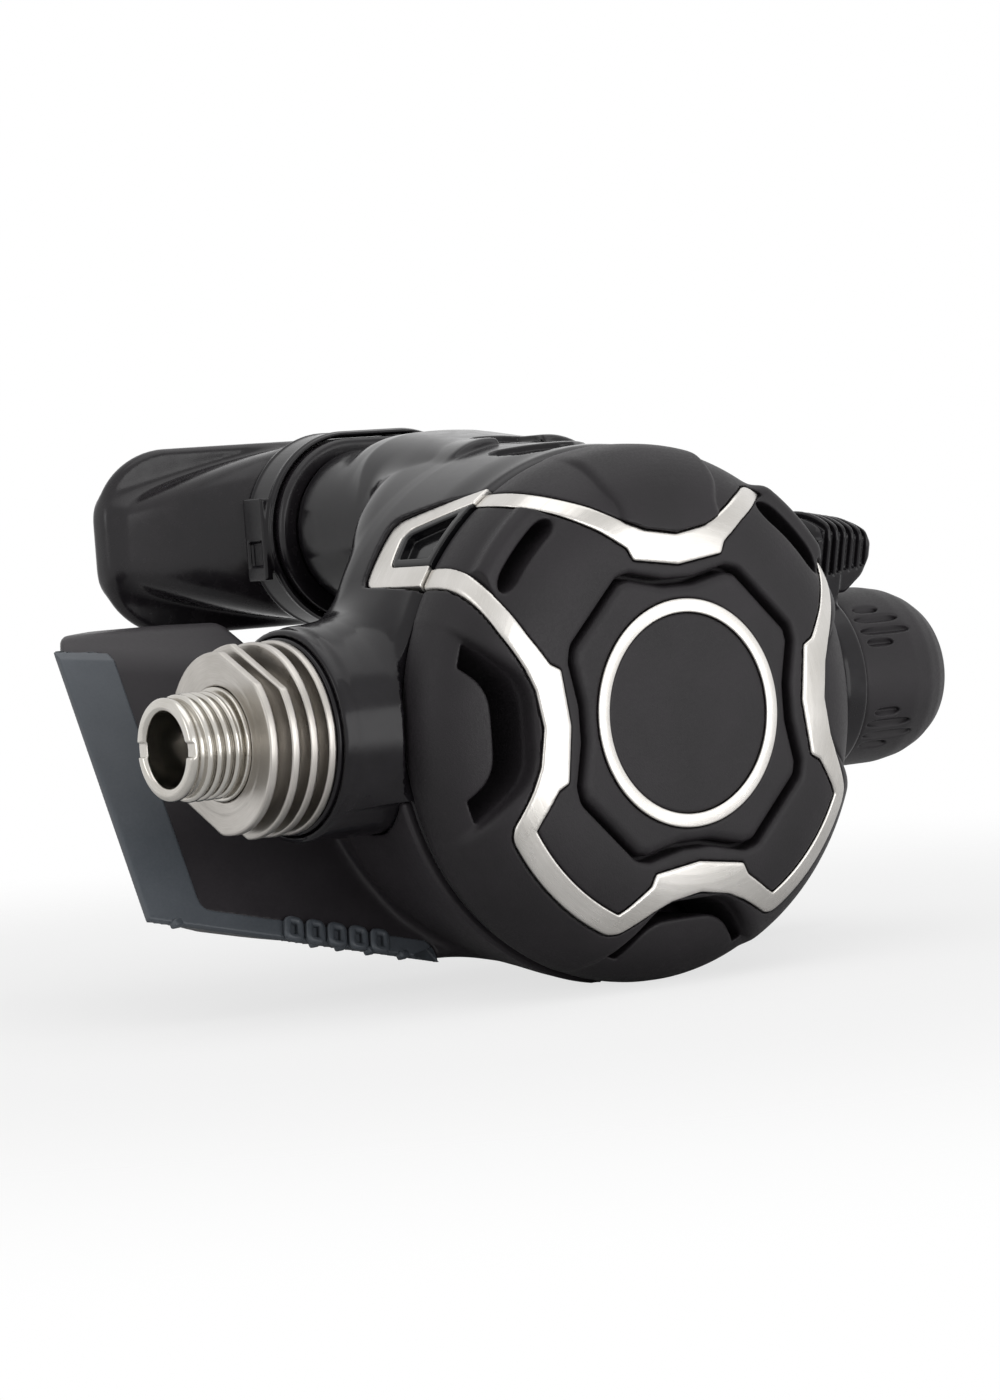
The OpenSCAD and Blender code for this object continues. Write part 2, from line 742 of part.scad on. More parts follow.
pin_r = 0.8;                     // radius of the lever's pin
pin_half = 5.8;                  // half length of the pin
lever_hub_r = 1.6;               // radius of the lever round its pin
foot_in = 2.6;                   // inner half width of the lever's feet
foot_out = 3.8;                  // outer half width of the lever's feet
slot_half = 4.4;                 // half width of the barrel's slot
pin_y = barrel_back - lever_pin_out;
stroke_back = plate_back + button_travel;

// Raises an outline of [x, y] points from z0 to z1
module slab(z0, z1) translate([0, 0, z0]) linear_extrude(z1 - z0) children();

// A round rod across the barrel at the lever's pin
module pin_rod(r, half) translate([lever_pin_x, pin_y, barrel_up - half]) cylinder(r = r, h = 2 * half);

module valve_barrel() color("#b9a15c") placed() difference() {
    sleeve(barrel_x0, barrel_x1, barrel_r, barrel_bore_r);
    // flat that clears the diaphragm's plate at full stroke
    slab(-far, far) translate([-plate_r - 1, 0]) square([2 * plate_r + 2, stroke_back + 0.35]);
    slab(barrel_up - slot_half, barrel_up + slot_half) translate([-4, 0])
        square([lever_pin_x + 8.5, barrel_back]);
    pin_rod(pin_r + run_gap, 2 * pin_half);
    // air leaves the barrel towards the mouth tube
    translate([-2, barrel_back, barrel_up]) cylinder(r = 3.5, h = 2 * barrel_r);
}

module barrel_nut() color("#c9c8c4") placed()
    sleeve(knob_foot + 0.1, barrel_x1, barrel_nut_r, barrel_r + seat_gap);
module valve_orifice() color("#c9c8c4") placed() difference() {
    about_x() polygon([
        [2, -orifice_back], [tube_in_r, -orifice_back], [tube_in_r, -orifice_tip - 2.2],
        [2.7, -orifice_tip], [2.3, -orifice_tip], [2, -orifice_tip - 0.5]
    ]);
    sleeve(-orifice_back + 3, -orifice_back + 3 + o_ring_w, far, tube_in_r - 1.1);
}

module orifice_o_ring() color("#1c1c1c") placed()
    sleeve(-orifice_back + 3.05, -orifice_back + 2.95 + o_ring_w, tube_in_r, tube_in_r - 1.05);

module low_pressure_seat() color("#e5e0d2") placed()
    sleeve(-orifice_tip + seat_lift, -orifice_tip + seat_lift + seat_t, 3.4);

module poppet() color("#d8d5cd") placed() difference() {
    union() {
        sleeve(poppet_x0, poppet_neck, poppet_r);
        intersection() {
            sleeve(collar_x, collar_x + collar_len, barrel_bore_r - run_gap);
            translate([0, barrel_back, barrel_up])
                cube([2 * far, collar_flats, collar_flats], center = true);
        }
        sleeve(poppet_neck - 1, poppet_x1, stem_rad);
        sleeve(shoulder_x, shoulder_x + 1, shoulder_r);
    }
    sleeve(poppet_x0 - 1, -orifice_tip + seat_lift + seat_t + seat_gap, 3.4 + seat_gap);
}

poppet_wire_r = 0.5;             // wire radius of the poppet's spring
poppet_turns = 8;                // turns of that spring
poppet_coil_r = 3.8;             // radius of its curls
poppet_coil_x0 = shoulder_x + 1.1 + poppet_wire_r;
poppet_coil_len = screw_x0 - 0.3 - poppet_wire_r - poppet_coil_x0;
echo(str("poppet spring: least gap to itself ",
    poppet_coil_len / poppet_turns - 2 * poppet_wire_r, " mm"));

module poppet_spring() color("#b8b8b8") placed() translate([poppet_coil_x0, barrel_back, barrel_up])
    rotate([0, 90, 0]) coil(poppet_coil_r, poppet_wire_r, poppet_coil_len, poppet_turns);

module adjuster_screw() color("#c9c8c4") placed() difference() {
    union() {
        sleeve(screw_x0, screw_x1, barrel_bore_r - run_gap);
        sleeve(screw_x1 - eps, drive_x1, drive_r);
    }
    sleeve(screw_x0 - 1, screw_x1 - 3.4, stem_rad + 0.3);
    sleeve(screw_x1 - 2.8, screw_x1 - 2.8 + o_ring_w, far, barrel_bore_r - 1.2);
}

module adjuster_o_ring() color("#1c1c1c") placed()
    sleeve(screw_x1 - 2.75, screw_x1 - 2.85 + o_ring_w, barrel_bore_r - run_gap, barrel_bore_r - 1.15);

// ---- Diaphragm and demand lever ----

lever_rise = 0.17;               // slope of the lever's arm at rest
tip_x = -2.5;                    // end of the lever's arm
tip_y = plate_back + rest_gap;

module diaphragm() color("#2a2a2c") placed() about_y() polygon([
    [skin_in, skin_y], [20, skin_y], [22, skin_y - 0.5], [24.5, skin_y - 0.5], [27, skin_y],
    [diaphragm_r - 2, skin_y], [diaphragm_r - 2, bead_y0], [diaphragm_r, bead_y0],
    [diaphragm_r, shelf_y - seat_gap], [diaphragm_r - 1.7, shelf_y - seat_gap],
    [diaphragm_r - 2, skin_y + skin_t], [27.3, skin_y + skin_t], [24.8, skin_y + 0.3],
    [21.7, skin_y + 0.3], [19.7, skin_y + skin_t], [skin_in, skin_y + skin_t]
]);

module diaphragm_plate() color("#c9c8c4") placed() about_y() polygon([
    [0, skin_y], [skin_in - seat_gap, skin_y], [skin_in - seat_gap, plate_front],
    [plate_r, plate_front], [plate_r, plate_back], [0, plate_back]
]);

module diaphragm_retainer() color("#4a4a4d") placed() about_y() polygon([
    [diaphragm_r - 2.2, bead_y0 - 0.5], [diaphragm_r - 2.2, floor_back + seat_gap],
    [diaphragm_r + 0.5, floor_back + seat_gap], [diaphragm_r + 0.5, bead_y0 - seat_gap],
    [diaphragm_r - 1.5, bead_y0 - seat_gap]
]);

module demand_lever() color("#c4c4c4") placed() {
    front_y = pin_y - lever_t / 2;
    difference() {
        union() {
            slab(barrel_up - lever_w / 2, barrel_up + lever_w / 2) polygon([
                [lever_pin_x, front_y], [tip_x + 2, front_y - lever_rise * (lever_pin_x - tip_x - 2)],
                [tip_x + 1.6, tip_y], [tip_x + 0.4, tip_y], [tip_x, tip_y + 0.4],
                [tip_x, front_y + lever_t - lever_rise * (lever_pin_x - tip_x)],
                [lever_pin_x, front_y + lever_t]
            ]);
            pin_rod(lever_hub_r, foot_out);
            for (s = [-1, 1]) translate([0, 0, barrel_up + s * (foot_in + foot_out) / 2])
                slab(-(foot_out - foot_in) / 2, (foot_out - foot_in) / 2)
                    translate([lever_pin_x - 0.5, pin_y]) square([1, lever_pin_out - 0.5]);
        }
        pin_rod(pin_r + seat_gap, far);
    }
}

module lever_pin() color("#d0d0d0") placed() pin_rod(pin_r, pin_half);

// ---- Knob and venturi lever ----

knob_hollow = 5.4;               // depth of the hollow over the nut
knob_screw_r = 3.4;              // radius of the knob screw's head
knob_screw_t = 1.1;              // thickness of that head
grip_deep = 1.1;                 // depth of the grip notches
grip_w = 2.6;                    // width of the grip notches

module knob_profile() polygon([
    [0, knob_foot], [knob_r - 0.4, knob_foot], [knob_r, knob_foot + 0.5],
    [knob_r - 0.1, knob_foot + 0.5 * knob_len], [knob_r - 0.6, knob_end - 6.4],
    [knob_r - 1.5, knob_end - 4], [knob_r - 2.7, knob_end - 2], [knob_r - 4.2, knob_end - 0.7],
    [knob_r - 6, knob_end], [0, knob_end]
]);

module adjustment_knob() color("#363437") placed() difference() {
    about_x() knob_profile();
    sleeve(0, knob_foot + knob_hollow, barrel_nut_r + run_gap);
    sleeve(0, insert_x1 + seat_gap, insert_r + seat_gap);
    sleeve(0, far, 1.6 + seat_gap);
    sleeve(knob_end - knob_screw_t - 0.3, far, knob_screw_r + seat_gap);
    for (i = [0:grip_count - 1]) translate([0, barrel_back, barrel_up]) rotate([360 * i / grip_count, 0, 0])
        translate([knob_foot + 1.2, -grip_w / 2, knob_r - grip_deep]) cube([7, grip_w, 10]);
}

module knob_insert() color("#b9a15c") placed() difference() {
    sleeve(insert_x0, insert_x1, insert_r);
    sleeve(0, insert_x1 - 3, drive_r + run_gap);
    sleeve(insert_x1 - 2.4, far, 1.6 + seat_gap);
}

module knob_screw() color("#c9c8c4") placed() difference() {
    union() {
        sleeve(insert_x1 - 2.3, knob_end - knob_screw_t, 1.6);
        sleeve(knob_end - knob_screw_t - 0.25, knob_end - 0.25, knob_screw_r);
    }
    translate([knob_end - 0.8, barrel_back - far, barrel_up - 0.4]) cube([far, 2 * far, 0.8]);
}

lever_ring_r = 14;               // radius of the venturi lever's ring
lever_x0 = boss_right + rest_gap;
tab_w = 10;                      // width of the thumb tab
tab_turn = 14;                   // how far the tab stands towards the front
tab_foot = 14.4;                 // radius where the tab clears the knob

module venturi_lever() color("#1d1c1e") placed() difference() {
    union() {
        sleeve(lever_x0, lever_x0 + venturi_ring_t, lever_ring_r);
        translate([0, barrel_back, barrel_up]) rotate([tab_turn, 0, 0]) {
            translate([lever_x0, -tab_w / 2, 0]) cube([venturi_ring_t, tab_w, venturi_tip_r - 2]);
            translate([lever_x0, 0, 0]) rotate([90, 0, 0]) translate([0, 0, -tab_w / 2])
                linear_extrude(tab_w) polygon([
                    [0, tab_foot], [0.6 * venturi_tab_len, tab_foot],
                    [0.9 * venturi_tab_len, tab_foot + 2.6], [venturi_tab_len, tab_foot + 5],
                    [venturi_tab_len, venturi_tip_r - 3.2], [venturi_tab_len - 1, venturi_tip_r - 1.6],
                    [1.5, venturi_tip_r], [0, venturi_tip_r - 1.5]
                ]);
        }
    }
    sleeve(0, far, sleeve_r + seat_gap);
}

module venturi_vane() color("#3a393b") placed() difference() {
    sleeve(sleeve_x0, lever_x0 + venturi_ring_t, sleeve_r, barrel_r + run_gap);
    // the sleeve is open towards the mouth tube between its two ends
    translate([sleeve_x0 + 2, barrel_back, barrel_up - 2]) cube([5, far, 4]);
}

// ---- Exhaust valve and tee ----

tee_drop = case_band_r - tee_rise;
tee_plan_dip = 6;                // how far the tee's front bulges at the middle
tee_mid = 20;                    // half width of the tee's lowest part
tee_top_mid = 35.4;              // height of the tee's front at the middle
tee_top_x = 29;                  // half width of the tee's lower middle
tee_roof_y = 45.3;               // where the slope of the tee's roof starts
tee_roof_z = 13.1;               // how high it starts
tee_roof_slope = 0.62;           // how fast the roof climbs to its flat top
tee_cut = tee_half - tee_deep;   // the outlets are cut at 45 degrees
trim_deep = 1.2;                 // thickness of the tee's grey border
trim_up = 0.3;                   // how far it stands out

module exhaust_valve() color("#33322f") placed() translate([0, 0, -valve_drop]) {
    plate(case_depth + seat_gap, case_depth + seat_gap + exhaust_t) circle(exhaust_r);
    plate(case_depth - case_wall - 2.2, case_depth + seat_gap + eps) circle(stem_r);
    plate(case_depth - case_wall - 2.2, case_depth - case_wall - 0.2) circle(stem_r + 0.5);
}

// Stands a shape on the tee's leaning front: x across, y deep, z up the lean
module leaned() translate([0, tee_back, -tee_drop]) rotate([-tee_lean, 0, 0]) children();

// The tee seen from above and from the front, in its leaning frame; over
// carries both outlines on past the outlets
module tee_plan(over) {
    x = tee_half + over;
    v = over * tee_plan_dip / tee_half;
    polygon([
        [-x, v], [0, -tee_plan_dip], [x, v], [over > 0 ? x : tee_cut, tee_deep],
        [over > 0 ? -x : -tee_cut, tee_deep]
    ]);
}
module tee_face(over) {
    x = tee_half + over;
    lift = over * tee_dip / (tee_half - tee_mid);
    high = tee_high + 12;
    polygon([
        [-x, lift], [-tee_mid, -tee_dip], [tee_mid, -tee_dip], [x, lift],
        [x, high], [tee_top_x + 2, high], [tee_top_x, tee_top_mid], [-tee_top_x, tee_top_mid],
        [-tee_top_x - 2, high], [-x, high]
    ]);
}
module face_block(v0, v1) translate([0, v1, 0]) rotate([90, 0, 0]) linear_extrude(v1 - v0) children();

// What lies under the tee's sloping roof, drawn from the side
module tee_roof(inset = 0) {
    flat_y = tee_roof_y + (tee_top - tee_roof_z) / tee_roof_slope;
    start_z = tee_roof_z - tee_roof_slope * tee_roof_y;
    translate([-far, 0, 0]) rotate([90, 0, 90]) linear_extrude(2 * far) polygon([
        [0, -far], [far, -far], [far, tee_top - inset], [flat_y, tee_top - inset],
        [0, start_z - inset]
    ]);
}

// What lies over the tee's foot, drawn from the front
module tee_floor(inset = 0) {
    spare = 1.3;
    knee = tee_mid - 3;
    low = tee_drop + tee_dip * cos(tee_lean) + spare;
    plate(0, far) polygon([
        [-far, -tee_drop - spare + inset], [-tee_half, -tee_drop - spare + inset],
        [-knee, -low + inset], [knee, -low + inset], [tee_half, -tee_drop - spare + inset],
        [far, -tee_drop - spare + inset], [far, far], [-far, far]
    ]);
}

module tee_wing(over = 0, inset = 0) intersection() {
    leaned() intersection() {
        translate([0, 0, -40]) linear_extrude(100) offset(delta = -inset) tee_plan(over);
        face_block(-30, 60) offset(delta = -inset) tee_face(over);
    }
    tee_roof(inset);
    tee_floor(inset);
}

// The tee's socket: it wraps the lower half of the case and leads back to the wing
module tee_socket(inset = 0) intersection() {
    about_y() polygon([
        [0, tee_front], [case_band_r - inset, tee_front], [case_band_r - 0.5 - inset, 6],
        [case_band_r - 1.2 - inset, 11], [case_band_r - 1.8 - inset, 16],
        [case_band_r - 2.4 - inset, 21], [case_band_r - 4.4 - inset, 26],
        [case_band_r - 6.6 - inset, 31], [case_band_r - 7.6 - inset, 36], [0, 36]
    ]);
    translate([-far, 0, -far]) cube([2 * far, far, far + tee_line - seat_gap - inset]);
    tee_front_of_wing();
}
module tee_front_of_wing() leaned() translate([-far, -far, -far])
    cube([2 * far, far + tee_deep - tee_wall, 2 * far]);

module trim_zone() {
    for (s = [-1, 1]) scale([s, 1]) intersection() {
        tee_face(0);
        union() {
            translate([tee_half - band_w, -50]) square([band_w, 100]);
            polygon([
                [tee_half, 0], [tee_mid, -tee_dip], [tee_mid, -tee_dip + strip_h],
                [tee_half, strip_h]
            ]);
        }
    }
}
module trim_layer(grow) intersection() {
    tee_roof(-grow);
    leaned() trim_prism(grow);
}
module trim_prism(grow) intersection() {
    translate([0, 0, -40]) linear_extrude(100) polygon([
        [-tee_half, -trim_up - grow], [0, -tee_plan_dip - trim_up - grow],
        [tee_half, -trim_up - grow], [tee_half + grow, trim_deep - trim_up + grow],
        [0, -tee_plan_dip + trim_deep - trim_up + grow],
        [-tee_half - grow, trim_deep - trim_up + grow]
    ]);
    face_block(-30, 60) offset(delta = grow) trim_zone();
}

module exhaust_tee() color("#262427") placed() difference() {
    union() { tee_wing(); tee_socket(); }
    tee_wing(20, tee_wall);
    intersection() {
        tee_socket(tee_wall);
        about_y() translate([0, case_depth]) square([far, far]);
    }
    case_foot(seat_gap);
    sleeve(-far, far, boss_r + seat_gap);
    // keeps the case's flared bosses and hump clear
    intersection() {
        sleeve(-boss_root - 8, boss_root + 8, sleeve_r + 2.2);
        about_y() square([far, 26]);
    }
    trim_layer(seat_gap);
}

module tee_trim() color("#53585e") placed() {
    trim_layer(0);
}

// ---- Mouthpiece ----

sleeve_y0 = mouth_back - 8.6;    // front end of the mouthpiece's sleeve
clamp_y0 = mouth_back - 7.3;     // front edge of the clamp
lip_t = 2.6;                  // thickness of the lip flange
flange_bend = 100;               // radius to which the lip flange bends
flange_mid = flange_back - 6;    // the flange's front at its middle
tab_in = 14;                     // inner half distance of the bite tabs
clamp_in = tube_r + sleeve_wall + seat_gap;

module lip_outline(inset = 0) {
    r = flange_high - inset;
    hull() for (s = [-1, 1]) translate([s * (flange_half - inset - r), mouth_up]) circle(r, $fn = 48);
}

module bent(r0, r1) translate([0, flange_mid + flange_bend, -20]) difference() {
    cylinder(r = r1, h = 120);
    if (r0 > 0) translate([0, 0, -1]) cylinder(r = r0, h = 122);
}

module mouthpiece() color("#1a191b") placed() difference() {
    union() {
        plate(sleeve_y0, mouth_back + 1) oval(tube_r + sleeve_wall);
        // the throat widens from the clamp to the bent lip flange
        difference() {
            hull() {
                plate(mouth_back + 0.9, mouth_back + 1) oval(tube_r + sleeve_wall, $fn = 32);
                plate(flange_back + 2.9, flange_back + 3) lip_outline(1.5);
            }
            bent(0, flange_bend - lip_t / 2);
        }
        intersection() {
            plate(flange_mid - 10, flange_mid + 20) lip_outline();
            bent(flange_bend - lip_t, flange_bend);
        }
        for (s = [-1, 1]) {
            plate(flange_mid + 2, flange_mid + 5 + bite_len) translate([s * (tab_in + 3.5), mouth_up])
                square([8, 4], center = true);
            plate(flange_mid + 3 + bite_len, flange_mid + 5 + bite_len)
                translate([s * (tab_in + 3.5), mouth_up]) square([8, 11], center = true);
        }
    }
    plate(0, mouth_back + seat_gap) oval(tube_r + seat_gap);
    plate(0, far) oval(mouth_bore_r);
}

module mouthpiece_clamp() color("#1e1d1f") placed() {
    difference() {
        plate(clamp_y0, clamp_y0 + clamp_w) oval(clamp_in + clamp_t);
        plate(0, far) oval(clamp_in);
    }
    // buckle on the inlet's side
    buckle_high = 12;
    translate([-mouth_half - clamp_in - clamp_t - 0.5, clamp_y0 + 1, mouth_up - 0.55 * buckle_high])
        difference() {
            cube([1.2, clamp_w - 2, buckle_high]);
            translate([-1, 1.2, 0.2 * buckle_high]) cube([1.6, clamp_w - 4.4, 0.3 * buckle_high]);
        }
}
case();
front_cover();
cover_trim();
case_trim_frame();
side_window();
inlet_fitting();
heat_exchanger();
boss_ring();
valve_barrel();
barrel_nut();
valve_orifice();
orifice_o_ring();
inlet_o_ring();
purge_button();
purge_ring();
purge_spring();
diaphragm();
diaphragm_plate();
diaphragm_retainer();
demand_lever();
lever_pin();
poppet();
low_pressure_seat();
poppet_spring();
adjuster_screw();
adjuster_o_ring();
adjustment_knob();
knob_insert();
knob_screw();
venturi_lever();
venturi_vane();
exhaust_valve();
exhaust_tee();
tee_trim();
mouthpiece();
mouthpiece_clamp();
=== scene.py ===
"""A dressed second-stage demand regulator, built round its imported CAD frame.

Every piece is made in millimetres about the middle of the cover's joint with the
case: X runs along the valve barrel to the knob, -Y out of the cover and Z up.
It is then moved into the part's own frame, whose origin is the middle of the hose
thread, in metres.
"""

import logging
import math
from dataclasses import dataclass
from enum import Enum
from functools import reduce
from typing import Any, Iterable, Sequence

import bmesh
import bpy
import numpy as np
from mathutils import Matrix, Vector


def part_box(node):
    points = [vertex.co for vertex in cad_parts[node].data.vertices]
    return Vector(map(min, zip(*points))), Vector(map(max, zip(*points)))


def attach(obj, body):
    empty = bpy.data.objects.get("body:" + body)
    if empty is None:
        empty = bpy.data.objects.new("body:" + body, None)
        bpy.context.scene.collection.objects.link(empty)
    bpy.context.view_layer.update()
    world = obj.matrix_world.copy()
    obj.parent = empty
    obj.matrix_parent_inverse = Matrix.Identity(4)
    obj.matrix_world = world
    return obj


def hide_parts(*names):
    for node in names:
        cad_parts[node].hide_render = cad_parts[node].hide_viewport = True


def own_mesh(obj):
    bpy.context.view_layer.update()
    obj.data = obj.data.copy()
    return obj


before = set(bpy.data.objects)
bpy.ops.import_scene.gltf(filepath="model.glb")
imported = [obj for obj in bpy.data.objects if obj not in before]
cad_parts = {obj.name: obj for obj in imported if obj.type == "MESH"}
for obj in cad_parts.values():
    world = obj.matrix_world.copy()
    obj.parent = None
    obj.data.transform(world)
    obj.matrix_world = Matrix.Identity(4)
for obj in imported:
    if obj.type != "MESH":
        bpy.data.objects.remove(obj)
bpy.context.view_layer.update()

LOG = logging.getLogger("regulator")
Array = np.ndarray
Point2 = tuple[float, float]
Point3 = tuple[float, float, float]

# The part's origin seen from the cover's joint, in millimetres
SHIFT: Point3 = (60.0, -13.0, -1.0)
MM = 0.001
BARREL_Y, BARREL_Z = 13.0, 1.0
MOUTH_Z = 27.7
COARSE = 1.0


class Body(str, Enum):
    """The bodies of the frame that pieces ride on."""

    HOUSING = "housing"
    PURGE = "purge"
    KNOB = "knob"
    VENTURI = "venturi"


# ---- Distance fields and the skins drawn on them ----


@dataclass
class Grid:
    """A box of sample points, in millimetres about the cover's joint.

    Args:
        low: The box's lowest corner.
        high: The box's highest corner.
        step: The distance between neighbouring points.
    """

    low: Point3
    high: Point3
    step: float

    def __post_init__(self) -> None:
        """Lays out the three axes so that they broadcast against each other."""
        self.step *= COARSE
        axes = [
            np.arange(a, b + self.step, self.step, dtype=np.float32)
            for a, b in zip(self.low, self.high)
        ]
        self.x = axes[0][:, None, None]
        self.y = axes[1][None, :, None]
        self.z = axes[2][None, None, :]

    @property
    def rho(self) -> Array:
        """Distance of each point from the cover's axis."""
        return np.sqrt(self.x**2 + self.z**2)

    @property
    def bar(self) -> Array:
        """Distance of each point from the barrel's axis."""
        return np.sqrt((self.y - BARREL_Y) ** 2 + (self.z - BARREL_Z) ** 2)


def join(a: Array, b: Array, soft: float | Array = 0.0) -> Array:
    """Joins two solids with a fillet.

    Args:
        a: Distance to the first solid.
        b: Distance to the second solid.
        soft: Width of the fillet between them, one value or one for each point.

    Returns:
        Distance to both solids together.
    """
    if np.max(soft) <= 0:
        return np.minimum(a, b)
    near = np.maximum(soft - np.abs(a - b), 0) / soft
    return np.minimum(a, b) - near * near * soft * 0.25


def common(a: Array, b: Array, soft: float = 0.0) -> Array:
    """Keeps what two solids share, with a rounded edge of width soft."""
    return -join(-a, -b, soft)


def cut(a: Array, b: Array, soft: float = 0.0) -> Array:
    """Takes solid b out of solid a, with a rounded edge of width soft."""
    return -join(-a, b, soft)


def nearest(solids: Iterable[Array]) -> Array:
    """Distance to several solids together, with no fillet."""
    return reduce(np.minimum, solids)


def between(value: Array, low: float, high: float) -> Array:
    """Distance to the slab where value lies between low and high."""
    return np.abs(value - (low + high) / 2) - (high - low) / 2


def rounded(corners: Sequence[Sequence[float]], radius: float) -> list[Point2]:
    """Rounds the corners of a closed outline.

    Args:
        corners: Points as (u, v) or (u, v, own radius), in order.
        radius: The radius of corners that don't name their own.

    Returns:
        The outline's points with short arcs at its corners.
    """
    out: list[Point2] = []
    count = len(corners)
    for i, corner in enumerate(corners):
        here = np.array(corner[:2], float)
        back = np.array(corners[i - 1][:2], float) - here
        on = np.array(corners[(i + 1) % count][:2], float) - here
        lb, lo = np.linalg.norm(back), np.linalg.norm(on)
        back, on = back / lb, on / lo
        half = math.acos(float(np.clip(back @ on, -1, 1))) / 2
        r = corner[2] if len(corner) > 2 else radius
        reach = min(r / max(math.tan(half), 1e-3), 0.48 * lb, 0.48 * lo)
        r = reach * math.tan(half)
        if r < 1e-3 or half > 1.55:
            out.append((float(here[0]), float(here[1])))
            continue
        middle = here + (back + on) / np.linalg.norm(back + on) * (r / math.sin(half))
        start, end = here + back * reach - middle, here + on * reach - middle
        a0 = math.atan2(start[1], start[0])
        turn = (math.atan2(end[1], end[0]) - a0 + math.pi) % (2 * math.pi) - math.pi
        for t in np.linspace(0, 1, 6):
            a = a0 + turn * t
            out.append((float(middle[0] + r * math.cos(a)), float(middle[1] + r * math.sin(a))))
    return out


def outline(u: Array, v: Array, points: Sequence[Point2]) -> Array:
    """Signed distance to a closed outline.

    Args:
        u: First coordinate of the sample points.
        v: Second coordinate of the sample points.
        points: The outline's corners in order.

    Returns:
        The distance, below zero inside.
    """
    u, v = np.broadcast_arrays(u, v)
    best = np.full(u.shape, 1e9, np.float32)
    odd = np.zeros(u.shape, bool)
    for i, (bu, bv) in enumerate(points):
        au, av = points[i - 1]
        eu, ev = bu - au, bv - av
        wu, wv = u - au, v - av
        t = np.clip((wu * eu + wv * ev) / max(eu * eu + ev * ev, 1e-12), 0, 1)
        best = np.minimum(best, (wu - eu * t) ** 2 + (wv - ev * t) ** 2)
        crosses = (av > v) != (bv > v)
        with np.errstate(divide="ignore", invalid="ignore"):
            odd ^= crosses & (u < au + eu * (v - av) / (ev if ev else 1e-9))
    return np.where(odd, -1, 1) * np.sqrt(best).astype(np.float32)


class Turned:
    """A turned outline, kept as a table of distances."""

    def __init__(self, points: Sequence[Point2], spacing: float = 0.1) -> None:
        """Fills the table.

        Args:
            points: The outline as (radius, place along the axis).
            spacing: The table's spacing.
        """
        pts = np.array(points, float)
        self.spacing = spacing
        self.low = pts.min(0) - 6
        size = np.ceil((pts.max(0) + 6 - self.low) / spacing).astype(int) + 2
        r = (self.low[0] + np.arange(size[0]) * spacing)[:, None]
        a = (self.low[1] + np.arange(size[1]) * spacing)[None, :]
        self.table = outline(np.abs(r), a, points)

    def __call__(self, radius: Array, along: Array) -> Array:
        """Distance at each (radius, along), read from the table."""
        r = np.clip((radius - self.low[0]) / self.spacing, 0, self.table.shape[0] - 1.01)
        a = np.clip((along - self.low[1]) / self.spacing, 0, self.table.shape[1] - 1.01)
        i, j = r.astype(np.int32), a.astype(np.int32)
        fr, fa = (r - i).astype(np.float32), (a - j).astype(np.float32)
        t = self.table
        return (t[i, j] * (1 - fr) + t[i + 1, j] * fr) * (1 - fa) + (
            t[i, j + 1] * (1 - fr) + t[i + 1, j + 1] * fr
        ) * fa


